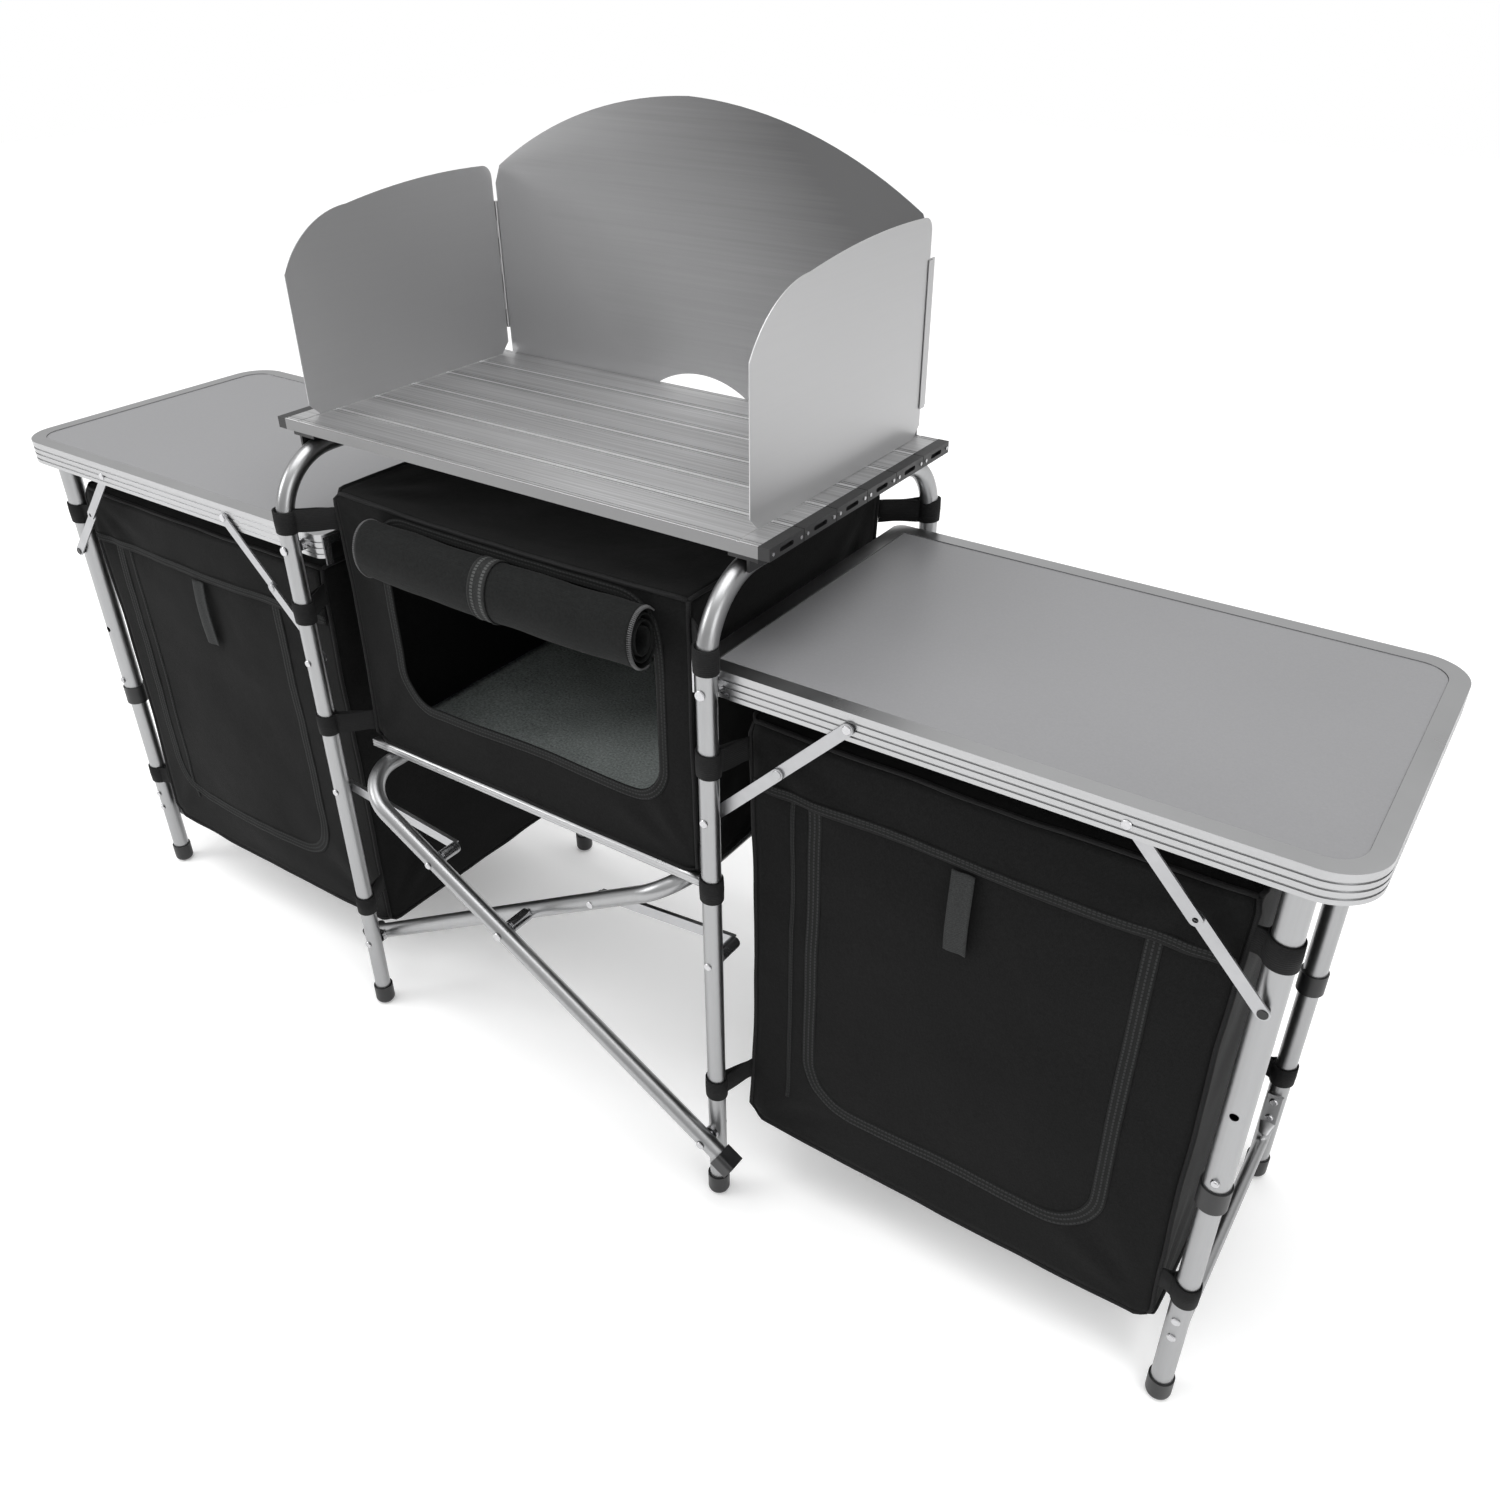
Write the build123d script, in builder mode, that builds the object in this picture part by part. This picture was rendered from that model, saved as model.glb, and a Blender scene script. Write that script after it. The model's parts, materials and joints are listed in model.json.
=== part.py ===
from build123d import *
import math
import os

# Camp kitchen table: a folding tube stand with a slatted deck and a windscreen,
# a fabric cabinet in the middle, and a side table with a fabric cupboard at each end.
# Millimetres. X runs along the length, -Y is the front, +Z is up.
# The origin is on the ground under the middle of the table.

# --- stand ---------------------------------------------------------------------
LEG_X = 283.0              # stand legs, left and right of the middle
LEG_Y = 210.0              # stand legs, front and rear of the middle
STAND_TUBE_R = 10.0
STAND_WALL = 1.2
STAND_TOP_Z = 771.0        # axis of the stand hoop's top bar
STAND_BEND_R = 75.0
FOOT_CAP_H = 28.0
FOOT_CAP_R = 12.5

# --- crossed hoops ---------------------------------------------------------------
HOOP_PIVOT_Z = 105.0       # lower pivot on the stand leg
HOOP_ANGLE = 30.4          # rise of a hoop's arms, in degrees
HOOP_LENGTH = 580.0        # lower pivot to the top bar's axis
HOOP_BEND_R = 55.0
HOOP_TAIL = 38.0           # tube past the lower pivot
WIDE_ARM_Y = 234.0         # arms outside the stand legs
NARROW_ARM_Y = 184.0       # arms inside the stand legs
STRUT_LEG_Z = 350.0        # strut pivot on the stand leg
STRUT_ON_HOOP = 117.0      # strut pivot on the hoop, measured from the centre pivot
STRUT_WIDTH = 13.0
STRUT_SHEET = 1.6
STRUT_FLANGE = 5.0

# --- deck --------------------------------------------------------------------------
DECK_TOP = 800.0
SLAT_T = 12.0
DECK_HALF_L = 321.0
DECK_HALF_W = 167.0
SLAT_COUNT = 6
SLAT_GAP = 0.8
SLAT_CAP_L = 12.0
SLAT_WALL = 1.8
SLAT_GROOVE_W = 1.2
SLAT_GROOVE_D = 0.8
WING_SEAT_W = 3.0          # shallow seat across the slats under each windscreen wing
WING_SEAT_D = 0.4

# --- windscreen ------------------------------------------------------------------------
SCREEN_T = 1.0
SCREEN_HALF_L = 288.0      # also where the wings stand on the deck
SCREEN_Y = 164.0
WING_BOTTOM = 800.8
SCREEN_SHOULDER_Z = 1007.0
SCREEN_CREST_Z = 1101.0
WING_REAR_Z = 1015.0
WING_FRONT_Z = 948.0
WING_FRONT_Y = -148.0
WING_CORNER_R = 14.0
WING_NOTCH = 12.0
SEAM_LOW_Z = 830.0
SEAM_HIGH_Z = 975.0

# --- side tables ------------------------------------------------------------------------
TABLE_INNER_X = 254.0
TABLE_OUTER_X = 848.0
TABLE_HALF_W = 193.5
TABLE_TOP = 685.0
TABLE_EDGE_H = 28.0
TABLE_LIP = 18.0
TABLE_WALL = 2.5
TABLE_CORNER_R = 45.0
TABLE_INNER_CORNER_R = 12.0
PANEL_T = 5.2
PANEL_DROP = 2.15          # from the rim's top down to the board under it
PANEL_RAISE = 1.2          # raised field of the board inside the rim
RIB_GROOVES_Z = (661.5, 668.5, 675.5)
RIB_GROOVE_H = 2.2
RIB_GROOVE_D = 1.3
RIM_T = 2.0
SHELF_T = 1.6              # inner flange that carries the board
SHELF_INSET = 10.0
TABLE_PIN_Z = 670.0        # pin that holds the table to the stand leg

# --- outer legs ----------------------------------------------------------------------------
OUTER_X = 795.0
OUTER_Y = 166.0
UPPER_R = 12.5
UPPER_BORE_R = 11.08
LOWER_R = 11.0
LOWER_WALL = 1.2
LEG_PIN_Z = 661.0          # pin that the outer leg folds about
UPPER_TOP_Z = 667.0
COLLAR_LOW_Z = 290.0
COLLAR_H = 26.0
LOWER_TOP_Z = 398.0
BUTTON_Z = 329.0
BUTTON_STEP = 82.0         # to the empty hole above
BUTTON_R = 4.0
CROSSBAR_Z = 74.0
CROSSBAR_R = 7.5
CROSSBAR_BEND_R = 12.0
SCREWS_Z = (104.0, 129.0)
TAB_W = 18.0               # flattened end of the crossbar
TAB_T = 3.0

# --- braces -------------------------------------------------------------------------------------
INNER_BRACE_LEG_Z = 530.0
INNER_BRACE_TABLE = (421.0, 670.0)
OUTER_BRACE_TABLE = (667.0, 668.0)
OUTER_BRACE_LEG_Z = 533.0
LINK_W = 12.0
LINK_T = 2.0

# --- fabric ------------------------------------------------------------------------------------------
FABRIC_T = 3.0
CABINET_HALF_L = 243.0
CABINET_FRONT_Y = -172.0
CABINET_REAR_Y = 172.0
CABINET_LOW_Z = 421.0
CABINET_TOP_Z = 735.0
DOORWAY_HALF_L = 187.0
DOORWAY_LOW_Z = 500.0
DOORWAY_HIGH_Z = 722.0
DOORWAY_R = 45.0
RAIL_H = 9.0
RAIL_D = 14.0
ROLL_HALF_D = 24.0         # the rolled door is an oval roll
ROLL_HALF_H = 32.0
ROLL_Z = 691.5
ROLL_LOW_X = -172.0
ROLL_HIGH_X = 200.0
CUPBOARD_INNER_X = 298.0
CUPBOARD_OUTER_X = 772.0
CUPBOARD_HALF_W = 164.0
CUPBOARD_LOW_Z = 98.0
CUPBOARD_TOP_Z = 626.0
STRAP_H = 25.0
STRAP_T = 2.0
CABINET_STRAPS_Z = (434.0, 676.9)
CUPBOARD_STRAPS_Z = (152.0, 582.0)

PIN_R = 3.0
RIVET_R = 2.5
FIT = 0.05                 # radial clearance of a pin in its hole

HOOP_COS = math.cos(math.radians(HOOP_ANGLE))
HOOP_SIN = math.sin(math.radians(HOOP_ANGLE))
CENTRE_TO_PIVOT = LEG_X / HOOP_COS
CENTRE_Z = HOOP_PIVOT_Z + LEG_X * HOOP_SIN / HOOP_COS
SIDES = (("right", 1), ("left", -1))
ENDS = (("front", -1), ("rear", 1))

os.makedirs("parts", exist_ok=True)


def save(part, name):
    """Label one finished piece and write it."""
    part.label = name
    export_step(part, f"parts/{name}.step")


def front_plane(x, y, z):
    """A plane at a point whose normal is +Y."""
    return Plane(origin=(x, y, z), x_dir=(1, 0, 0), z_dir=(0, 1, 0))


def ring_along_y(x, z, low_y, high_y, outer, inner):
    """A disc or a ring whose axis is along Y."""
    with BuildPart() as piece:
        with BuildSketch(front_plane(x, low_y, z)):
            Circle(outer)
            if inner:
                Circle(inner, mode=Mode.SUBTRACT)
        extrude(amount=high_y - low_y)
    return piece.part


def cut_along_y(x, z, low_y, high_y, radius):
    """A round hole along Y in the part being built."""
    with BuildSketch(front_plane(x, low_y, z)) as hole:
        Circle(radius)
    extrude(hole.sketch, amount=high_y - low_y, mode=Mode.SUBTRACT)


def round_pin(x, z, faces, radius, head_r, head_t):
    """A pin or rivet along Y: a shank between two faces and a domed head beyond each."""
    low_y, high_y = min(faces), max(faces)
    with BuildPart() as pin:
        with BuildSketch(front_plane(x, low_y - head_t, z)):
            Circle(head_r)
        extrude(amount=head_t)
        with BuildSketch(front_plane(x, low_y, z)):
            Circle(radius)
        extrude(amount=high_y - low_y)
        with BuildSketch(front_plane(x, high_y, z)):
            Circle(head_r)
        extrude(amount=head_t)
        outer_rims = pin.edges().filter_by(GeomType.CIRCLE).sort_by(Axis.Y)
        chamfer([outer_rims[0], outer_rims[-1]], head_t * 0.45)
    return pin.part


def upright_ring(x, y, low_z, high_z, outer, inner):
    """A disc or a ring whose axis is along Z."""
    with BuildPart() as piece:
        with BuildSketch(Plane(origin=(x, y, low_z))):
            Circle(outer)
            if inner:
                Circle(inner, mode=Mode.SUBTRACT)
        extrude(amount=high_z - low_z)
    return piece.part


def foot_cap(x, y, radius, tube_r):
    """A plastic cap with a rounded sole, closed under the tube that stands in it."""
    with BuildPart() as cap:
        with BuildSketch(Plane(origin=(x, y, 0))):
            Circle(radius)
        extrude(amount=FOOT_CAP_H)
        fillet(cap.edges().filter_by(GeomType.CIRCLE).sort_by(Axis.Z)[0], radius * 0.55)
        with BuildSketch(Plane(origin=(x, y, 8.0))):
            Circle(tube_r)
        extrude(amount=FOOT_CAP_H - 8.0, mode=Mode.SUBTRACT)
    return cap.part


def flat_link(start, end, low_y, thickness, width, hole_r):
    """A flat bar with round ends between two pivots in the XZ plane, with a hole at each."""
    dx, dz = end[0] - start[0], end[1] - start[1]
    length = math.hypot(dx, dz)
    place = Plane(origin=(start[0], low_y, start[1]), x_dir=(dx, 0, dz), z_dir=(0, 1, 0))
    with BuildPart() as link:
        with BuildSketch(place):
            with Locations((length / 2, 0)):
                SlotCenterToCenter(length, width)
            with Locations((0, 0), (length, 0)):
                Circle(hole_r, mode=Mode.SUBTRACT)
        extrude(amount=thickness)
    return link.part


def grouped(pieces):
    """Several separate solids as one node."""
    return Compound(children=list(pieces))


def along_hoop(side, distance):
    """The point of a hoop's arm at a distance from its lower pivot, as x and z.

    side is the side of the lower pivot: the arm rises towards the other side.
    """
    return side * (LEG_X - distance * HOOP_COS), HOOP_PIVOT_Z + distance * HOOP_SIN


# =================================== stand sides =====================================
for side_name, side in SIDES:
    x = side * LEG_X
    with BuildPart() as side_hoop:
        with BuildLine() as route:
            FilletPolyline(
                (x, -LEG_Y, 8.0), (x, -LEG_Y, STAND_TOP_Z),
                (x, LEG_Y, STAND_TOP_Z), (x, LEG_Y, 8.0), radius=STAND_BEND_R)
        with BuildSketch(Plane(origin=(x, -LEG_Y, 8.0))):
            Circle(STAND_TUBE_R)
            Circle(STAND_TUBE_R - STAND_WALL, mode=Mode.SUBTRACT)
        sweep()
        for pin_z, pin_r in ((TABLE_PIN_Z, PIN_R), (INNER_BRACE_LEG_Z, RIVET_R),
                             (STRUT_LEG_Z, PIN_R), (HOOP_PIVOT_Z, PIN_R)):
            cut_along_y(x, pin_z, -LEG_Y - 15, LEG_Y + 15, pin_r)
    save(side_hoop.part, f"{side_name}_stand_hoop")

    caps = [foot_cap(x, y * LEG_Y, FOOT_CAP_R, STAND_TUBE_R) for _, y in ENDS]
    save(grouped(caps), f"{side_name}_stand_feet")

# The hoop that pivots on one stand leg passes outside or inside the legs, so its pivot
# pins, spacers and struts sit at different depths on the two sides.
LEG_OUT = LEG_Y + STAND_TUBE_R
LEG_IN = LEG_Y - STAND_TUBE_R
WIDE_OUT = WIDE_ARM_Y + STAND_TUBE_R
WIDE_IN = WIDE_ARM_Y - STAND_TUBE_R
NARROW_OUT = NARROW_ARM_Y + STAND_TUBE_R
NARROW_IN = NARROW_ARM_Y - STAND_TUBE_R
SLIP = 0.3                 # side gap between pieces that swing past each other

LEFT_STRUT_OUT = LEG_IN - SLIP
RIGHT_STRUT_OUT = NARROW_IN - 1.0

# =================================== crossed hoops ===================================
for hoop_name, side, arm_y in (("wide", 1, WIDE_ARM_Y), ("narrow", -1, NARROW_ARM_Y)):
    tail_x, tail_z = along_hoop(side, -HOOP_TAIL)
    bar_x, bar_z = along_hoop(side, HOOP_LENGTH)
    strut_x, strut_z = along_hoop(side, CENTRE_TO_PIVOT + STRUT_ON_HOOP)
    with BuildPart() as hoop:
        with BuildLine() as route:
            FilletPolyline(
                (tail_x, -arm_y, tail_z), (bar_x, -arm_y, bar_z),
                (bar_x, arm_y, bar_z), (tail_x, arm_y, tail_z), radius=HOOP_BEND_R)
        with BuildSketch(Plane(origin=route.line @ 0, z_dir=route.line % 0)):
            Circle(STAND_TUBE_R)
            Circle(STAND_TUBE_R - STAND_WALL, mode=Mode.SUBTRACT)
        sweep()
        cut_along_y(side * LEG_X, HOOP_PIVOT_Z, -arm_y - 15, arm_y + 15, PIN_R + FIT)
        cut_along_y(0, CENTRE_Z, -arm_y - 15, arm_y + 15, PIN_R)
        cut_along_y(strut_x, strut_z, -arm_y - 15, arm_y + 15, RIVET_R)
    save(hoop.part, f"{hoop_name}_hoop")

    # Square-ended plastic plugs over the tube ends past the lower pivots.
    plug_x, plug_z = along_hoop(side, -HOOP_TAIL - 6.0)
    plugs = []
    for _, y in ENDS:
        with BuildPart() as plug:
            with BuildSketch(Plane(origin=(plug_x, y * arm_y, plug_z),
                                   z_dir=(-side * HOOP_COS, 0, HOOP_SIN))):
                RectangleRounded(24.0, 24.0, 5.0)
            extrude(amount=22.0)
            with BuildSketch(Plane(origin=(tail_x, y * arm_y, tail_z),
                                   z_dir=(-side * HOOP_COS, 0, HOOP_SIN))):
                Circle(STAND_TUBE_R)
            extrude(amount=22.0, mode=Mode.SUBTRACT)
        plugs.append(plug.part)
    save(grouped(plugs), f"{hoop_name}_hoop_plugs")

# Centre pivot and strut pivot hardware that stays with each hoop.
wide_hardware = []
narrow_hardware = []
wide_strut_x, wide_strut_z = along_hoop(1, CENTRE_TO_PIVOT + STRUT_ON_HOOP)
narrow_strut_x, narrow_strut_z = along_hoop(-1, CENTRE_TO_PIVOT + STRUT_ON_HOOP)
for _, y in ENDS:
    wide_faces = sorted((y * WIDE_IN, y * WIDE_OUT))
    narrow_faces = sorted((y * NARROW_IN, y * NARROW_OUT))
    gap = sorted((y * (WIDE_IN - 1.5), y * (NARROW_OUT + 0.5)))
    wide_hardware.append(round_pin(0, CENTRE_Z, wide_faces, PIN_R, 5.5, 1.5))
    wide_hardware.append(ring_along_y(0, CENTRE_Z, gap[0], gap[1], 8.0, None))
    wide_hardware.append(round_pin(wide_strut_x, wide_strut_z, wide_faces, RIVET_R, 4.5, 1.5))
    gap = sorted((y * (WIDE_IN - 1.5), y * (LEG_IN + SLIP)))
    wide_hardware.append(ring_along_y(wide_strut_x, wide_strut_z, gap[0], gap[1], 7.0, None))
    narrow_hardware.append(round_pin(0, CENTRE_Z, narrow_faces, PIN_R, 5.0, 0.4))
    narrow_hardware.append(
        round_pin(narrow_strut_x, narrow_strut_z, narrow_faces, RIVET_R, 4.5, 0.6))
save(grouped(wide_hardware), "wide_hoop_rivets_and_spacers")
save(grouped(narrow_hardware), "narrow_hoop_rivets")


def channel_strut(leg_point, hoop_point, outer_y, end):
    """A pressed channel with rounded ends: a web next to the tube and two flanges."""
    dx, dz = hoop_point[0] - leg_point[0], hoop_point[1] - leg_point[1]
    length = math.hypot(dx, dz)
    inward = -end
    place = Plane(origin=(leg_point[0], end * outer_y, leg_point[1]),
                  x_dir=(dx, 0, dz), z_dir=(0, inward, 0))
    with BuildPart() as strut:
        with BuildSketch(place):
            with Locations((length / 2, 0)):
                SlotCenterToCenter(length, STRUT_WIDTH)
            with Locations((0, 0)):
                Circle(PIN_R + FIT, mode=Mode.SUBTRACT)
        extrude(amount=STRUT_SHEET)
        with BuildSketch(place):
            for edge in (-1, 1):
                with Locations((length / 2, edge * (STRUT_WIDTH - STRUT_SHEET) / 2)):
                    Rectangle(length, STRUT_SHEET)
        extrude(amount=STRUT_FLANGE)
    return strut.part


left_struts = [channel_strut((-LEG_X, STRUT_LEG_Z), (wide_strut_x, wide_strut_z),
                             LEFT_STRUT_OUT, end) for _, end in ENDS]
save(grouped(left_struts), "left_struts")
right_struts = [channel_strut((LEG_X, STRUT_LEG_Z), (narrow_strut_x, narrow_strut_z),
                              RIGHT_STRUT_OUT, end) for _, end in ENDS]
save(grouped(right_struts), "right_struts")

# Pins and rivets fixed in each stand leg: the strut pin, the hoop pin, the rivet of the
# inner brace and the table pin.
INNER_LINK_OUT = LEG_IN - SLIP
for side_name, side in SIDES:
    x = side * LEG_X
    if side > 0:
        strut_head = RIGHT_STRUT_OUT - STRUT_SHEET - SLIP
        hoop_far = WIDE_OUT + SLIP
    else:
        strut_head = LEFT_STRUT_OUT - STRUT_SHEET - SLIP
        hoop_far = NARROW_IN - SLIP
    hardware = []
    for _, y in ENDS:
        hardware.append(
            round_pin(x, STRUT_LEG_Z, (y * LEG_OUT, y * strut_head), PIN_R, 4.4, 1.5))
        if side > 0:
            faces = sorted((y * LEG_IN, y * (RIGHT_STRUT_OUT + SLIP)))
            hardware.append(
                ring_along_y(x, STRUT_LEG_Z, faces[0], faces[1], 7.0, PIN_R))
            hardware.append(
                round_pin(x, HOOP_PIVOT_Z, (y * LEG_IN, y * hoop_far), PIN_R, 5.0, 1.5))
            faces = sorted((y * LEG_OUT, y * (WIDE_IN - SLIP)))
        else:
            hardware.append(
                round_pin(x, HOOP_PIVOT_Z, (y * LEG_OUT, y * hoop_far), PIN_R, 5.0, 1.5))
            faces = sorted((y * LEG_IN, y * (NARROW_OUT + SLIP)))
        hardware.append(ring_along_y(x, HOOP_PIVOT_Z, faces[0], faces[1], 8.0, PIN_R))
        inner_end = INNER_LINK_OUT - LINK_T - SLIP
        hardware.append(
            round_pin(x, INNER_BRACE_LEG_Z, (y * LEG_OUT, y * inner_end), RIVET_R, 4.5, 1.5))
    save(grouped(hardware), f"{side_name}_stand_pins_and_spacers")

# ======================================= deck ========================================
SLAT_PITCH = 2 * DECK_HALF_W / SLAT_COUNT
SLAT_W = SLAT_PITCH - SLAT_GAP
SLAT_HALF_L = DECK_HALF_L - SLAT_CAP_L
GROOVES = (-24.5, -20.5, 20.5, 24.5)
slat_middles = [-DECK_HALF_W + SLAT_PITCH * (i + 0.5) for i in range(SLAT_COUNT)]
slats = []
for middle_y in slat_middles:
    with BuildPart() as slat:
        with BuildSketch(Plane.YZ.offset(-SLAT_HALF_L)):
            with Locations((middle_y, DECK_TOP - SLAT_T / 2)):
                Rectangle(SLAT_W, SLAT_T)
                Rectangle(SLAT_W - 2 * SLAT_WALL, SLAT_T - 2 * SLAT_WALL, mode=Mode.SUBTRACT)
            # Two shallow grooves along the top near each long edge.
            for groove in GROOVES:
                with Locations((middle_y + groove, DECK_TOP)):
                    Rectangle(SLAT_GROOVE_W, SLAT_GROOVE_D, mode=Mode.SUBTRACT)
        extrude(amount=2 * SLAT_HALF_L)
        with BuildSketch(Plane.XY.offset(DECK_TOP - WING_SEAT_D)):
            for _, side in SIDES:
                with Locations((side * SCREEN_HALF_L, middle_y)):
                    Rectangle(WING_SEAT_W, SLAT_W + 2.0)
        extrude(amount=WING_SEAT_D, mode=Mode.SUBTRACT)
    slats.append(slat.part)
save(grouped(slats), "deck_slats")

SLAT_LINK_Z = DECK_TOP - SLAT_T / 2
slat_caps = []
for _, side in SIDES:
    for middle_y in slat_middles:
        with BuildPart() as cap:
            with BuildSketch(Plane.YZ.offset(side * SLAT_HALF_L)):
                with Locations((middle_y, DECK_TOP - SLAT_T / 2)):
                    Rectangle(SLAT_W, SLAT_T)
            extrude(amount=side * SLAT_CAP_L)
            # The oblong slot at the end of each slat.
            with BuildSketch(Plane.YZ.offset(side * (DECK_HALF_L - 4.0))):
                with Locations((middle_y, SLAT_LINK_Z)):
                    SlotOverall(22.0, 4.5)
            extrude(amount=side * 4.0, mode=Mode.SUBTRACT)
            # A hole near each long edge for the pins of the link plates.
            with BuildSketch(Plane.YZ.offset(side * (DECK_HALF_L - 6.0))):
                for edge in (-1, 1):
                    with Locations((middle_y + edge * (SLAT_W / 2 - 5.0), SLAT_LINK_Z)):
                        Circle(1.8)
            extrude(amount=side * 6.0, mode=Mode.SUBTRACT)
        slat_caps.append(cap.part)
save(grouped(slat_caps), "slat_end_caps")

link_pins = []
for _, side in SIDES:
    for middle_y in slat_middles:
        for edge in (-1, 1):
            with BuildPart() as pin:
                with BuildSketch(Plane.YZ.offset(side * (DECK_HALF_L - 6.0))):
                    with Locations((middle_y + edge * (SLAT_W / 2 - 5.0), SLAT_LINK_Z)):
                        Circle(1.8)
                extrude(amount=side * 7.0)
            link_pins.append(pin.part)
save(grouped(link_pins), "slat_link_pins")

# Hook rails under the slat ends: each lies on a stand hoop's top bar and hooks over it.
SLAT_LOW = DECK_TOP - SLAT_T
RAIL_PAD = SLAT_LOW - (STAND_TOP_Z + STAND_TUBE_R + 0.4)
RAIL_HOOK_X = LEG_X + STAND_TUBE_R + 0.5
under_rails = []
for _, side in SIDES:
    with BuildPart() as under_rail:
        with BuildSketch(Plane.XZ.offset(DECK_HALF_W - 6.0)):
            with Locations((side * (RAIL_HOOK_X - 4.0), SLAT_LOW - RAIL_PAD / 2)):
                Rectangle(32.0, RAIL_PAD)
            with Locations((side * (RAIL_HOOK_X + 1.5), SLAT_LOW - 9.0)):
                Rectangle(3.0, 18.0)
        extrude(amount=-2 * (DECK_HALF_W - 6.0))
    under_rails.append(under_rail.part)
save(grouped(under_rails), "deck_hook_rails")

# ==================================== windscreen =====================================
HINGE_X = SCREEN_HALF_L - 0.8
HINGE_Y = SCREEN_Y - 0.8
KNUCKLE_R = 1.5
HINGE_PIN_R = 0.8
KNUCKLE_COUNT = 7
KNUCKLE_PITCH = (SEAM_HIGH_Z - SEAM_LOW_Z) / KNUCKLE_COUNT
CORNER_GAP = 2.4           # from the hinge axis to a sheet's edge
COVER_X = SCREEN_HALF_L + 1.9
COVER_T = 0.7

with BuildPart() as screen_back:
    edge_x = HINGE_X - CORNER_GAP
    with BuildSketch(front_plane(0, SCREEN_Y - SCREEN_T / 2, 0)):
        with BuildLine():
            low = (-edge_x, -DECK_TOP)
            shoulder = (-edge_x, -(SCREEN_SHOULDER_Z - 12.0))
            turn = (-edge_x + 9.0, -(SCREEN_SHOULDER_Z + 8.0))
            crest = (0.0, -SCREEN_CREST_Z)
            Line(low, shoulder)
            Line(shoulder, turn)
            ThreePointArc(turn, (-150.0, -(SCREEN_CREST_Z - 26.0)), crest)
            ThreePointArc(crest, (150.0, -(SCREEN_CREST_Z - 26.0)), (-turn[0], turn[1]))
            Line((-turn[0], turn[1]), (-shoulder[0], shoulder[1]))
            Line((-shoulder[0], shoulder[1]), (-low[0], low[1]))
            Line((-low[0], low[1]), low)
        make_face()
        # The low arch in the middle of the bottom edge.
        with Locations((8.0, -(DECK_TOP - 98.0))):
            Circle(116.0, mode=Mode.SUBTRACT)
    extrude(amount=SCREEN_T)
save(screen_back.part, "windscreen_back")

for side_name, side in SIDES:
    hinge_x = side * HINGE_X
    wing_x = side * (HINGE_X + 0.3)
    rear_y = HINGE_Y - CORNER_GAP
    with BuildPart() as wing:
        with BuildSketch(Plane.YZ.offset(wing_x)):
            with BuildLine():
                Polyline((rear_y, WING_REAR_Z - WING_CORNER_R),
                         (rear_y, WING_BOTTOM + WING_NOTCH),
                         (rear_y - WING_NOTCH, WING_BOTTOM),
                         (WING_FRONT_Y + WING_NOTCH, WING_BOTTOM),
                         (WING_FRONT_Y, WING_BOTTOM + WING_NOTCH),
                         (WING_FRONT_Y, WING_FRONT_Z))
                ThreePointArc((WING_FRONT_Y, WING_FRONT_Z), (-108.0, 988.0), (-56.0, 1003.0))
                corner = (rear_y - WING_CORNER_R, WING_REAR_Z)
                ThreePointArc((-56.0, 1003.0), (40.0, 1014.0), corner)
                ThreePointArc(corner, (rear_y - 0.29 * WING_CORNER_R,
                                       WING_REAR_Z - 0.29 * WING_CORNER_R),
                              (rear_y, WING_REAR_Z - WING_CORNER_R))
            make_face()
        extrude(amount=side * SCREEN_T)
        # Even knuckles belong to the wing, with a tongue that joins them to the sheet.
        for number in range(1, KNUCKLE_COUNT, 2):
            low_z = SEAM_LOW_Z + number * KNUCKLE_PITCH + 0.3
            with BuildSketch(Plane(origin=(0, 0, low_z))):
                with Locations((hinge_x, HINGE_Y)):
                    Circle(KNUCKLE_R)
                with Locations((side * (HINGE_X + 0.8), HINGE_Y - CORNER_GAP / 2 - 0.5)):
                    Rectangle(SCREEN_T, CORNER_GAP + 1.0)
                with Locations((hinge_x, HINGE_Y)):
                    Circle(HINGE_PIN_R + FIT, mode=Mode.SUBTRACT)
            extrude(amount=KNUCKLE_PITCH - 0.6)
    save(wing.part, f"{side_name}_windscreen_wing")

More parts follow.
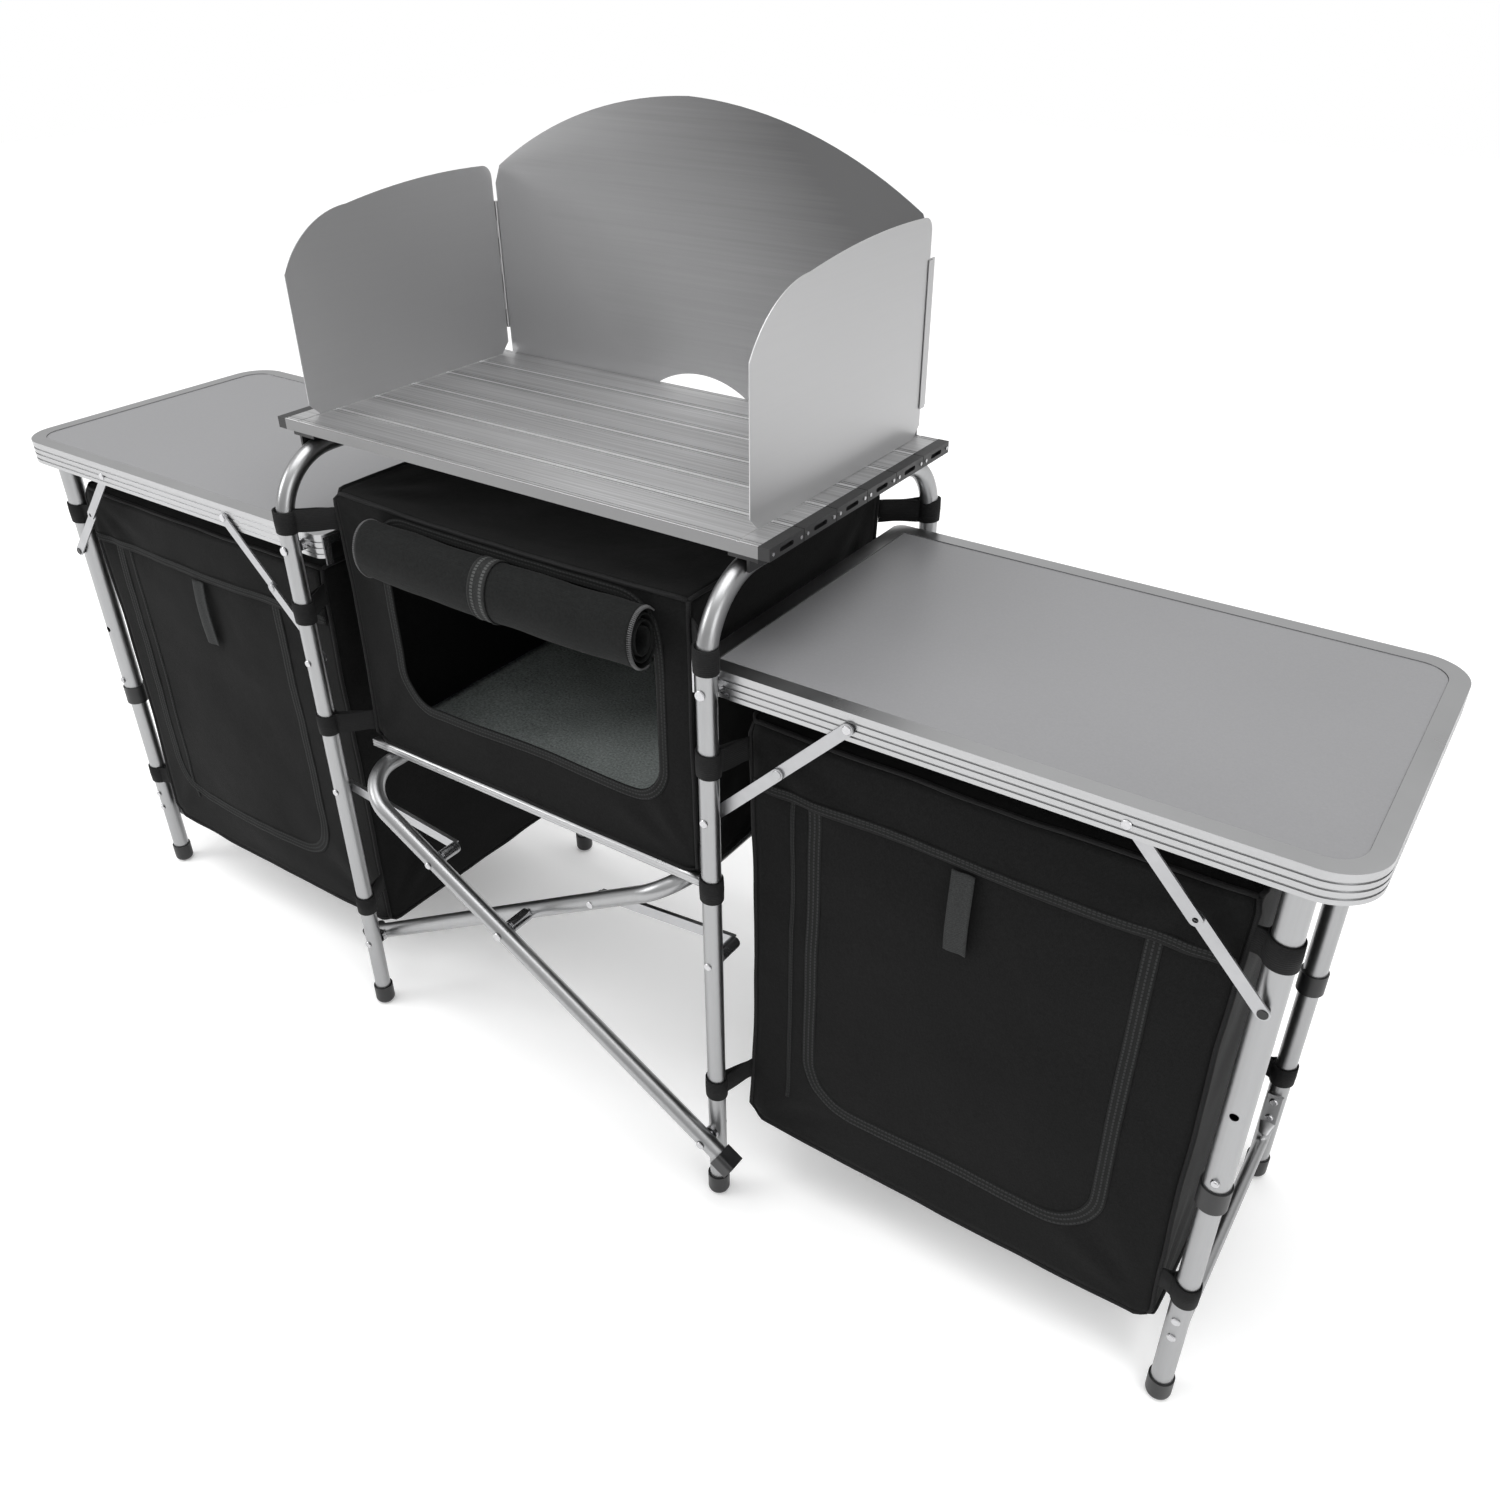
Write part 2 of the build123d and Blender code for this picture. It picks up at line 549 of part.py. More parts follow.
# Fixed hinge knuckles, each joined to the back sheet by a leaf behind it.
hinge_leaves = []
for _, side in SIDES:
    hinge_x = side * HINGE_X
    with BuildPart() as leaf:
        with BuildSketch(Plane(origin=(0, 0, SEAM_LOW_Z))):
            with Locations((side * (SCREEN_HALF_L - 12.0), SCREEN_Y + SCREEN_T / 2 + 0.5)):
                Rectangle(20.0, 1.0)
            with Locations((side * (SCREEN_HALF_L - 2.5), SCREEN_Y + SCREEN_T / 2 + 5.5)):
                Rectangle(1.0, 11.0)
            # A cover strip closes the corner outside the knuckles.
            with Locations((side * (COVER_X - COVER_T / 2), SCREEN_Y - 2.1)):
                Rectangle(COVER_T, 9.8)
            with Locations((side * (COVER_X - 2.5), SCREEN_Y + 2.4)):
                Rectangle(5.0, 0.8)
        extrude(amount=SEAM_HIGH_Z - SEAM_LOW_Z)
        for number in range(0, KNUCKLE_COUNT, 2):
            low_z = SEAM_LOW_Z + number * KNUCKLE_PITCH
            with BuildSketch(Plane(origin=(0, 0, low_z))):
                with Locations((hinge_x, HINGE_Y)):
                    Circle(KNUCKLE_R)
                with Locations((side * (HINGE_X - 1.2), HINGE_Y + 1.55)):
                    Rectangle(2.0, 1.5)
                with Locations((hinge_x, HINGE_Y)):
                    Circle(HINGE_PIN_R, mode=Mode.SUBTRACT)
            extrude(amount=KNUCKLE_PITCH)
    hinge_leaves.append(leaf.part)
    hinge_leaves.append(
        upright_ring(hinge_x, HINGE_Y, SEAM_LOW_Z, SEAM_HIGH_Z, HINGE_PIN_R, None))
save(grouped(hinge_leaves), "windscreen_hinges")

# ==================================== side tables ====================================
TABLE_LOW = TABLE_TOP - TABLE_EDGE_H
PANEL_LOW = TABLE_TOP - PANEL_DROP - PANEL_T
NOTCH_HALF = 15.0
NOTCH_TOP = 673.0
WALL_IN = TABLE_HALF_W - TABLE_WALL


def table_outline(side, inset):
    """The edges of a side table's plan, inset all round."""
    inner = side * (TABLE_INNER_X + inset)
    outer = side * (TABLE_OUTER_X - inset)
    half = TABLE_HALF_W - inset
    small = max(TABLE_INNER_CORNER_R - inset, 1.0)
    large = max(TABLE_CORNER_R - inset, 1.0)
    with BuildLine() as plan:
        FilletPolyline((inner, -half), (outer, -half), (outer, half), (inner, half),
                       radius=[small, large, large, small], close=True)
    return plan.edges()


def table_ring(side, low_z, height, outer_inset, inner_inset, how):
    """A band of the table's outline between two insets."""
    with BuildSketch(Plane.XY.offset(low_z)) as band:
        make_face(table_outline(side, outer_inset))
        make_face(table_outline(side, inner_inset), mode=Mode.SUBTRACT)
    extrude(band.sketch, amount=height, mode=how)


table_hardware = {}
for side_name, side in SIDES:
    with BuildPart() as edge:
        table_ring(side, TABLE_LOW, TABLE_EDGE_H, 0.0, TABLE_WALL, Mode.ADD)
        table_ring(side, TABLE_TOP - RIM_T, RIM_T, 0.0, TABLE_LIP, Mode.ADD)
        table_ring(side, PANEL_LOW - 0.15 - SHELF_T, SHELF_T, 0.5, SHELF_INSET, Mode.ADD)
        # Three grooves round the outside make the ribbed edge.
        for groove_z in RIB_GROOVES_Z:
            table_ring(side, groove_z, RIB_GROOVE_H, -2.0, RIB_GROOVE_D, Mode.SUBTRACT)
        # Notches in the inner end for the folded legs.
        with BuildSketch(Plane.XY.offset(TABLE_LOW - 1.0)):
            for _, y in ENDS:
                with Locations((side * (TABLE_INNER_X + 6.0), y * OUTER_Y)):
                    Rectangle(16.0, 2 * NOTCH_HALF)
        extrude(amount=NOTCH_TOP - TABLE_LOW + 1.0, mode=Mode.SUBTRACT)
        for px, pz, pr in ((LEG_X, TABLE_PIN_Z, PIN_R), (*INNER_BRACE_TABLE, RIVET_R),
                           (*OUTER_BRACE_TABLE, RIVET_R)):
            cut_along_y(side * px, pz, -TABLE_HALF_W - 3, TABLE_HALF_W + 3, pr)
    save(edge.part, f"{side_name}_table_edge")

    with BuildPart() as panel:
        with BuildSketch(Plane.XY.offset(PANEL_LOW)):
            make_face(table_outline(side, TABLE_WALL + 0.2))
        extrude(amount=PANEL_T)
        with BuildSketch(Plane.XY.offset(TABLE_TOP - PANEL_DROP)):
            make_face(table_outline(side, TABLE_LIP + 0.3))
        extrude(amount=PANEL_RAISE)
    save(panel.part, f"{side_name}_table_panel")

    # Pins that hang the table in the stand, the rivets of the braces, and end brackets.
    hardware = []
    for _, y in ENDS:
        hardware.append(round_pin(side * LEG_X, TABLE_PIN_Z, (y * LEG_OUT, y * WALL_IN),
                                  PIN_R, 5.5, 1.8))
        faces = sorted((y * LEG_IN, y * TABLE_HALF_W))
        hardware.append(ring_along_y(side * LEG_X, TABLE_PIN_Z, *faces, 6.5, PIN_R))
        x, z = INNER_BRACE_TABLE
        inner_faces = (y * (INNER_LINK_OUT - LINK_T - SLIP), y * WALL_IN)
        hardware.append(round_pin(side * x, z, inner_faces, RIVET_R, 4.5, 1.2))
        faces = sorted((y * (INNER_LINK_OUT - 2 * LINK_T - 2 * SLIP), y * TABLE_HALF_W))
        hardware.append(ring_along_y(side * x, z, *faces, 4.0, RIVET_R))
        with BuildPart() as bracket:
            with BuildSketch(Plane.YZ.offset(side * (TABLE_INNER_X - 2.2))):
                with Locations((y * (OUTER_Y - 1.0), 666.5)):
                    Rectangle(50.0, 33.0)
                with Locations((y * OUTER_Y, 657.0)):
                    Rectangle(2 * NOTCH_HALF, 32.0, mode=Mode.SUBTRACT)
                with Locations((y * (OUTER_Y - 20.5), 662.0)):
                    Circle(RIVET_R, mode=Mode.SUBTRACT)
            extrude(amount=side * 2.0)
        hardware.append(bracket.part)
    table_hardware[side_name] = hardware

    # Inner braces, locked straight between the stand leg and the table edge.
    leg_point = (side * LEG_X, INNER_BRACE_LEG_Z)
    table_point = (side * INNER_BRACE_TABLE[0], INNER_BRACE_TABLE[1])
    knee = tuple((a + b) / 2 for a, b in zip(leg_point, table_point))
    links = []
    for _, y in ENDS:
        low_link_y = min(y * INNER_LINK_OUT, y * (INNER_LINK_OUT - LINK_T))
        high_out = INNER_LINK_OUT - LINK_T - SLIP
        high_link_y = min(y * high_out, y * (high_out - LINK_T))
        links.append(flat_link(leg_point, knee, low_link_y, LINK_T, LINK_W, RIVET_R))
        links.append(flat_link(knee, table_point, high_link_y, LINK_T, LINK_W, RIVET_R))
        knee_faces = (y * INNER_LINK_OUT, y * (high_out - LINK_T))
        links.append(round_pin(*knee, knee_faces, RIVET_R, 4.5, 1.0))
    save(grouped(links), f"{side_name}_inner_braces")

# ===================================== outer legs ====================================
CHEEK_T = 1.5
CHEEK_W = 22.0
CHEEK_DROP = 9.0           # cheek below the leg pin
CHEEK_IN = UPPER_R + 0.9
OUTER_LINK_TABLE_OUT = WALL_IN - 2.0
OUTER_LINK_LEG_OUT = OUTER_LINK_TABLE_OUT - LINK_T - 1.8
for side_name, side in SIDES:
    x = side * OUTER_X

    # U brackets under the panel, each with the pin that a leg folds about.
    hardware = table_hardware[side_name]
    for _, y in ENDS:
        middle = y * OUTER_Y
        with BuildPart() as bracket:
            with BuildSketch(Plane.XY.offset(PANEL_LOW - CHEEK_T)):
                with Locations((x, middle)):
                    Rectangle(30.0, 2 * (CHEEK_IN + CHEEK_T))
            extrude(amount=CHEEK_T)
            for cheek_y in (middle - CHEEK_IN - CHEEK_T, middle + CHEEK_IN):
                with BuildSketch(front_plane(x, cheek_y, LEG_PIN_Z)):
                    with Locations((0, -(PANEL_LOW - LEG_PIN_Z - CHEEK_DROP) / 2)):
                        Rectangle(CHEEK_W, PANEL_LOW - LEG_PIN_Z + CHEEK_DROP)
                    Circle(PIN_R, mode=Mode.SUBTRACT)
                extrude(amount=CHEEK_T)
        hardware.append(bracket.part)
        reach = CHEEK_IN + CHEEK_T
        hardware.append(
            round_pin(x, LEG_PIN_Z, (middle - reach, middle + reach), PIN_R, 5.0, 1.2))
        brace_x, brace_z = side * OUTER_BRACE_TABLE[0], OUTER_BRACE_TABLE[1]
        brace_faces = (y * TABLE_HALF_W, y * (OUTER_LINK_TABLE_OUT - LINK_T - 0.1))
        hardware.append(round_pin(brace_x, brace_z, brace_faces, RIVET_R, 4.5, 1.2))
    save(grouped(hardware), f"{side_name}_table_pins_and_brackets")

    collars = []
    for end_name, y in ENDS:
        middle = y * OUTER_Y
        with BuildPart() as upper:
            with BuildSketch(Plane(origin=(x, middle, COLLAR_LOW_Z + 2.0))):
                Circle(UPPER_R)
                Circle(UPPER_BORE_R, mode=Mode.SUBTRACT)
            extrude(amount=UPPER_TOP_Z - COLLAR_LOW_Z - 2.0)
            cut_along_y(x, LEG_PIN_Z, middle - 20, middle + 20, PIN_R + FIT)
            cut_along_y(x, OUTER_BRACE_LEG_Z, middle - 20, middle + 20, RIVET_R)
            # Holes for the snap button, on the outer side.
            for hole_z in (BUTTON_Z, BUTTON_Z + BUTTON_STEP):
                cut_along_y(x, hole_z, middle, middle + y * 20, BUTTON_R + 0.1)
        save(upper.part, f"{side_name}_{end_name}_upper_leg")

        with BuildPart() as collar:
            with BuildSketch(Plane(origin=(x, middle, COLLAR_LOW_Z))):
                Circle(UPPER_R + 2.0)
                Circle(UPPER_R, mode=Mode.SUBTRACT)
            extrude(amount=COLLAR_H)
            with BuildSketch(Plane(origin=(x, middle, COLLAR_LOW_Z))):
                Circle(UPPER_R + 2.0)
                Circle(LOWER_R + 0.1, mode=Mode.SUBTRACT)
            extrude(amount=2.0)
        collars.append(collar.part)
        leg_face = y * (OUTER_Y + UPPER_R)
        faces = sorted((leg_face, y * (OUTER_LINK_LEG_OUT - LINK_T - SLIP)))
        rivet_faces = (y * (OUTER_Y - UPPER_R), y * (OUTER_LINK_LEG_OUT + 0.1))
        collars.append(ring_along_y(x, OUTER_BRACE_LEG_Z, *faces, 4.5, RIVET_R))
        collars.append(round_pin(x, OUTER_BRACE_LEG_Z, rivet_faces, RIVET_R, 4.5, 1.0))
    save(grouped(collars), f"{side_name}_leg_collars_and_rivets")

    feet = []
    for end_name, y in ENDS:
        middle = y * OUTER_Y
        with BuildPart() as lower:
            with BuildSketch(Plane(origin=(x, middle, 8.0))):
                Circle(LOWER_R)
                Circle(LOWER_R - LOWER_WALL, mode=Mode.SUBTRACT)
            extrude(amount=LOWER_TOP_Z - 8.0)
            cut_along_y(x, BUTTON_Z, middle, middle + y * 20, BUTTON_R + 0.08)
            for screw_z in SCREWS_Z:
                cut_along_y(x, screw_z, middle - 20, middle + 20, RIVET_R)
        save(lower.part, f"{side_name}_{end_name}_lower_leg")
        feet.append(foot_cap(x, middle, FOOT_CAP_R + 0.5, LOWER_R))
    save(grouped(feet), f"{side_name}_outer_feet")

    # The crossbar between the legs: each end turns up and is flattened against a leg.
    inner_face = OUTER_Y - LOWER_R
    rise_y = inner_face - CROSSBAR_R
    tab_low = CROSSBAR_Z + CROSSBAR_BEND_R + 11.0
    tab_high = SCREWS_Z[1] + 10.0
    with BuildPart() as crossbar:
        with BuildLine() as route:
            FilletPolyline(
                (x, -rise_y, CROSSBAR_Z + CROSSBAR_BEND_R + 1.0), (x, -rise_y, CROSSBAR_Z),
                (x, rise_y, CROSSBAR_Z), (x, rise_y, CROSSBAR_Z + CROSSBAR_BEND_R + 1.0),
                radius=CROSSBAR_BEND_R)
        with BuildSketch(Plane(origin=route.line @ 0, z_dir=route.line % 0)):
            Circle(CROSSBAR_R)
        sweep()
        for _, y in ENDS:
            with BuildSketch(Plane.XY.offset(CROSSBAR_Z + CROSSBAR_BEND_R + 1.0)):
                with Locations((x, y * rise_y)):
                    Circle(CROSSBAR_R)
            with BuildSketch(Plane.XY.offset(tab_low)):
                with Locations((x, y * (inner_face - TAB_T / 2))):
                    Ellipse(TAB_W / 2, TAB_T / 2)
            loft()
            with BuildSketch(Plane.XY.offset(tab_low - 1.0)):
                with Locations((x, y * (inner_face - TAB_T / 2))):
                    RectangleRounded(TAB_W, TAB_T, 1.0)
            extrude(amount=tab_high - tab_low + 1.0)
            for screw_z in SCREWS_Z:
                cut_along_y(x, screw_z, y * (inner_face - 10.0), y * inner_face, RIVET_R)
    save(crossbar.part, f"{side_name}_leg_crossbar")

    screws = []
    for _, y in ENDS:
        screw_faces = (y * (OUTER_Y + LOWER_R), y * (inner_face - TAB_T))
        for screw_z in SCREWS_Z:
            screws.append(round_pin(x, screw_z, screw_faces, RIVET_R, 4.5, 2.0))
    save(grouped(screws), f"{side_name}_crossbar_screws")

    for end_name, y in ENDS:
        with BuildPart() as button:
            with BuildSketch(front_plane(x, y * (OUTER_Y + UPPER_R + 3.6), BUTTON_Z)):
                Circle(BUTTON_R)
            extrude(amount=-y * 12.0)
            tip = button.edges().filter_by(GeomType.CIRCLE).sort_by(Axis.Y)
            fillet(tip[-1] if y > 0 else tip[0], 1.8)
        save(button.part, f"{side_name}_{end_name}_snap_button")

    # Outer braces: the upper links turn on the table edge, the lower links on the legs.
    table_point = (side * OUTER_BRACE_TABLE[0], OUTER_BRACE_TABLE[1])
    leg_point = (x, OUTER_BRACE_LEG_Z)
    knee = tuple((a + b) / 2 for a, b in zip(leg_point, table_point))
    upper_links = []
    lower_links = []
    for _, y in ENDS:
        upper_y = min(y * OUTER_LINK_TABLE_OUT, y * (OUTER_LINK_TABLE_OUT - LINK_T))
        lower_y = min(y * OUTER_LINK_LEG_OUT, y * (OUTER_LINK_LEG_OUT - LINK_T))
        upper_links.append(
            flat_link(table_point, knee, upper_y, LINK_T, LINK_W, RIVET_R + FIT))
        lower_links.append(
            flat_link(leg_point, knee, lower_y, LINK_T, LINK_W, RIVET_R + FIT))
    save(grouped(upper_links), f"{side_name}_outer_brace_upper")
    save(grouped(lower_links), f"{side_name}_outer_brace_lower")

# ====================================== fabric =======================================
def strap_loop(x, y, low_z, leg_r):
    """A webbing loop round a leg, a little looser than the tube."""
    return upright_ring(x, y, low_z, low_z + STRAP_H, leg_r + 0.3 + STRAP_T, leg_r + 0.3)


cabinet_mid_y = (CABINET_FRONT_Y + CABINET_REAR_Y) / 2
cabinet_depth = CABINET_REAR_Y - CABINET_FRONT_Y
cabinet_height = CABINET_TOP_Z - CABINET_LOW_Z
with BuildPart() as cabinet:
    with BuildSketch(Plane.XY.offset(CABINET_LOW_Z)):
        with Locations((0, cabinet_mid_y)):
            RectangleRounded(2 * CABINET_HALF_L, cabinet_depth, 6.0)
    extrude(amount=cabinet_height)
    with BuildSketch(Plane.XY.offset(CABINET_LOW_Z + FABRIC_T)):
        with Locations((0, cabinet_mid_y)):
            Rectangle(2 * (CABINET_HALF_L - FABRIC_T), cabinet_depth - 2 * FABRIC_T)
    extrude(amount=cabinet_height - 2 * FABRIC_T, mode=Mode.SUBTRACT)
    with BuildSketch(front_plane(0, CABINET_FRONT_Y - 1.0, 0)):
        with Locations((0, -(DOORWAY_LOW_Z + DOORWAY_HIGH_Z) / 2)):
            RectangleRounded(2 * DOORWAY_HALF_L, DOORWAY_HIGH_Z - DOORWAY_LOW_Z, DOORWAY_R)
    extrude(amount=FABRIC_T + 2.0, mode=Mode.SUBTRACT)
cabinet_straps = []
for _, side in SIDES:
    for _, y in ENDS:
        for low_z in CABINET_STRAPS_Z:
            cabinet_straps.append(strap_loop(side * LEG_X, y * LEG_Y, low_z, STAND_TUBE_R))
save(grouped([cabinet.part, *cabinet_straps]), "cabinet")

with BuildPart() as rolled_door:
    with BuildSketch(Plane.YZ.offset(ROLL_LOW_X)):
        with Locations((CABINET_FRONT_Y - ROLL_HALF_D - 0.5, ROLL_Z)):
            Ellipse(ROLL_HALF_D, ROLL_HALF_H)
    extrude(amount=ROLL_HIGH_X - ROLL_LOW_X)
save(rolled_door.part, "rolled_door")

rails = []
for _, y in ENDS:
    with BuildPart() as rail:
        with BuildSketch(Plane.YZ.offset(-CABINET_HALF_L - 2.0)):
            with Locations((y * (CABINET_REAR_Y + 1.0), CABINET_LOW_Z - 0.5 - RAIL_H / 2)):
                Rectangle(RAIL_D, RAIL_H)
            for groove in (-1, 1):
                with Locations((y * (CABINET_REAR_Y + 1.0 + RAIL_D / 2),
                                CABINET_LOW_Z - 0.5 - RAIL_H / 2 + groove * 2.0)):
                    Rectangle(1.6, 1.2, mode=Mode.SUBTRACT)
        extrude(amount=2 * (CABINET_HALF_L + 2.0))
    rails.append(rail.part)
save(grouped(rails), "cabinet_rails")

for side_name, side in SIDES:
    middle_x = side * (CUPBOARD_INNER_X + CUPBOARD_OUTER_X) / 2
    length = CUPBOARD_OUTER_X - CUPBOARD_INNER_X
    height = CUPBOARD_TOP_Z - CUPBOARD_LOW_Z
    with BuildPart() as cupboard:
        with BuildSketch(Plane.XY.offset(CUPBOARD_LOW_Z)):
            with Locations((middle_x, 0)):
                RectangleRounded(length, 2 * CUPBOARD_HALF_W, 6.0)
        extrude(amount=height)
        with BuildSketch(Plane.XY.offset(CUPBOARD_LOW_Z + FABRIC_T)):
            with Locations((middle_x, 0)):
                Rectangle(length - 2 * FABRIC_T, 2 * (CUPBOARD_HALF_W - FABRIC_T))
        extrude(amount=height - 2 * FABRIC_T, mode=Mode.SUBTRACT)
    straps = []
    for _, y in ENDS:
        for low_z in CUPBOARD_STRAPS_Z:
            straps.append(strap_loop(side * LEG_X, y * LEG_Y, low_z, STAND_TUBE_R))
        straps.append(
            strap_loop(side * OUTER_X, y * OUTER_Y, CUPBOARD_STRAPS_Z[1] - 9.0, UPPER_R))
        straps.append(strap_loop(side * OUTER_X, y * OUTER_Y, CUPBOARD_STRAPS_Z[0], LOWER_R))
    save(grouped([cupboard.part, *straps]), f"{side_name}_cupboard")
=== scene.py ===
import json
import math

import bmesh
import bpy
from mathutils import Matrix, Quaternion, Vector, noise


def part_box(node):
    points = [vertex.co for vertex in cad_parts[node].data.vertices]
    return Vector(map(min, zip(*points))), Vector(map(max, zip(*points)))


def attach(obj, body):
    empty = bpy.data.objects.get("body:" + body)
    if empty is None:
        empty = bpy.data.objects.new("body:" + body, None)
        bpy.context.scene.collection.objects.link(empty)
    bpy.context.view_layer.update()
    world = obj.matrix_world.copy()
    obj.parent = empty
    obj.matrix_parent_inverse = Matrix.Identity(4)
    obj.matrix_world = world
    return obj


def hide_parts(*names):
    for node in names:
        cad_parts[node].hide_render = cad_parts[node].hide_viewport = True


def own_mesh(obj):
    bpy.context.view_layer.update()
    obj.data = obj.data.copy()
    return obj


# Looks of the camp kitchen table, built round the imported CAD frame. Metres, row frame.
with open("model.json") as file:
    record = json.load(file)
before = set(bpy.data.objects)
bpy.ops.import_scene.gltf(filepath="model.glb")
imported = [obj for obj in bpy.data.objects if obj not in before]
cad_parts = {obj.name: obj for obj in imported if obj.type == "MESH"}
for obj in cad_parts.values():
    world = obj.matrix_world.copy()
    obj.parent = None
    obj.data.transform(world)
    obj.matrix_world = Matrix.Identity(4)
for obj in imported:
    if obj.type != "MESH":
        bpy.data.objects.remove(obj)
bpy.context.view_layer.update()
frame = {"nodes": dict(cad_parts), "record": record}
SIDES = (("right", 1), ("left", -1))
UP = Vector((0, 0, 1))
FRONT = Vector((0, -1, 0))
REAR = -FRONT


# ================================ shader helpers ================================
class Shader:
    """A procedural material being put together node by node."""

    def __init__(self, name, color, metallic=0.0, roughness=0.5):
        self.mat = bpy.data.materials.new(name)
        self.mat.use_nodes = True
        self.mat.diffuse_color = (*color, 1)
        self.tree = self.mat.node_tree
        self.bsdf = self.tree.nodes["Principled BSDF"]
        self.bsdf.inputs["Base Color"].default_value = (*color, 1)
        self.bsdf.inputs["Metallic"].default_value = metallic
        self.bsdf.inputs["Roughness"].default_value = roughness
        self.color = color
        self.coordinates = self.tree.nodes.new("ShaderNodeTexCoord")

    def link(self, a, b):
        self.tree.links.new(a, b)

    def place(self, stretch=(1, 1, 1), source="Object"):
        node = self.tree.nodes.new("ShaderNodeMapping")
        node.inputs["Scale"].default_value = stretch
        self.link(self.coordinates.outputs[source], node.inputs["Vector"])
        return node.outputs["Vector"]

    def grain(self, scale, detail=4.0, rough=0.55, stretch=(1, 1, 1), source="Object"):
        node = self.tree.nodes.new("ShaderNodeTexNoise")
        node.inputs["Scale"].default_value = scale
        node.inputs["Detail"].default_value = detail
        node.inputs["Roughness"].default_value = rough
        self.link(self.place(stretch, source), node.inputs["Vector"])
        return node.outputs["Fac"]

    def bands(self, scale, axis, distort=0.0, source="Object"):
        node = self.tree.nodes.new("ShaderNodeTexWave")
        node.bands_direction = axis
        node.inputs["Scale"].default_value = scale
        node.inputs["Distortion"].default_value = distort
        node.inputs["Detail Scale"].default_value = 3.0
        self.link(self.coordinates.outputs[source], node.inputs["Vector"])
        return node.outputs["Fac"]

    def axes(self, source="Object"):
        """The X, Y and Z of a coordinate, one by one."""
        node = self.tree.nodes.new("ShaderNodeSeparateXYZ")
        self.link(self.coordinates.outputs[source], node.inputs["Vector"])
        return node.outputs

    def math(self, how, a, b=0.0):
        node = self.tree.nodes.new("ShaderNodeMath")
        node.operation = how
        for socket, value in zip(node.inputs, (a, b)):
            if isinstance(value, (int, float)):
                socket.default_value = value
            else:
                self.link(value, socket)
        return node.outputs[0]

    def blend(self, *parts):
        """The sum of every value times its weight."""
        total = None
        for value, weight in parts:
            scaled = self.math("MULTIPLY", value, weight)
            total = scaled if total is None else self.math("ADD", total, scaled)
        return total

    def near(self, value, centre, reach):
        """One where a value lies within reach of the centre, and zero elsewhere."""
        return self.math("LESS_THAN", self.math("ABSOLUTE", self.math("SUBTRACT", value, centre)),
                         reach)

    def spread(self, value, low, high):
        """Maps the middle half of a 0-1 value to a range."""
        node = self.tree.nodes.new("ShaderNodeMapRange")
        node.inputs["From Min"].default_value = 0.25
        node.inputs["From Max"].default_value = 0.75
        node.inputs["To Min"].default_value = low
        node.inputs["To Max"].default_value = high
        self.link(value, node.inputs["Value"])
        return node.outputs["Result"]

    def tint(self, value, dark, light):
        """Base colour runs from dark to light times the material's own colour."""
        node = self.tree.nodes.new("ShaderNodeValToRGB")
        ramp = node.color_ramp.elements
        ramp[0].position, ramp[1].position = 0.3, 0.7
        ramp[0].color = (*[c * dark for c in self.color], 1)
        ramp[1].color = (*[min(1.0, c * light) for c in self.color], 1)
        self.link(value, node.inputs["Fac"])
        self.link(node.outputs["Color"], self.bsdf.inputs["Base Color"])
        return node.outputs["Color"]

    def rough(self, value, low, high):
        self.link(self.spread(value, low, high), self.bsdf.inputs["Roughness"])

    def bump(self, height, strength, distance, below=None):
        node = self.tree.nodes.new("ShaderNodeBump")
        node.inputs["Strength"].default_value = strength
        node.inputs["Distance"].default_value = distance
        self.link(height, node.inputs["Height"])
        if below is not None:
            self.link(below, node.inputs["Normal"])
        return node.outputs["Normal"]

    def normal(self, value):
        self.link(value, self.bsdf.inputs["Normal"])


def satin_metal(name, color, stretch, roughness, lines=0.25, wear=0.06):
    """Anodised or brushed metal: fine lines along one direction, with faint wear."""
    s = Shader(name, color, 1.0, roughness)
    line = s.grain(240.0, 3.0, 0.6, stretch)
    cloud = s.grain(9.0, 4.0, 0.6)
    s.tint(s.blend((line, 0.5), (cloud, 0.5)), 1.0 - wear, 1.0 + wear * 0.6)
    s.rough(cloud, roughness - 0.05, roughness + 0.06)
    s.normal(s.bump(line, lines, 0.00012))
    return s.mat


def make_fabric(name, color, weave=0.5, roughness=0.86, sheen=0.03, pucker=0.25):
    """Coated woven polyester: a fine weave, uneven dye and small puckers."""
    s = Shader(name, color, 0.0, roughness)
    speck = s.grain(360.0, 3.0, 0.7)
    weave_height = s.blend(*[(s.bands(210.0, axis, 0.4), 0.33) for axis in "XZY"], (speck, 1.0))
    cloud = s.grain(6.0, 5.0, 0.6)
    s.tint(s.blend((speck, 0.68), (cloud, 0.32)), 0.35, 1.9)
    s.rough(cloud, roughness - 0.08, roughness + 0.08)
    soft = s.bump(s.grain(34.0, 3.0, 0.5), pucker, 0.002)
    s.normal(s.bump(weave_height, weave, 0.0004, soft))
    s.bsdf.inputs["Sheen Weight"].default_value = sheen
    s.bsdf.inputs["Sheen Roughness"].default_value = 0.45
    s.bsdf.inputs["Specular IOR Level"].default_value = 0.13
    return s.mat


def make_webbing(name, color, ribs="Z"):
    """Woven webbing or tape: ribs across its width and a rough surface."""
    s = Shader(name, color, 0.0, 0.8)
    rib = s.bands(150.0, ribs, 0.3)
    speck = s.grain(700.0, 2.0, 0.6)
    s.tint(speck, 0.65, 1.45)
    s.normal(s.bump(s.math("ADD", rib, speck), 0.45, 0.0005))
    s.bsdf.inputs["Specular IOR Level"].default_value = 0.25
    return s.mat


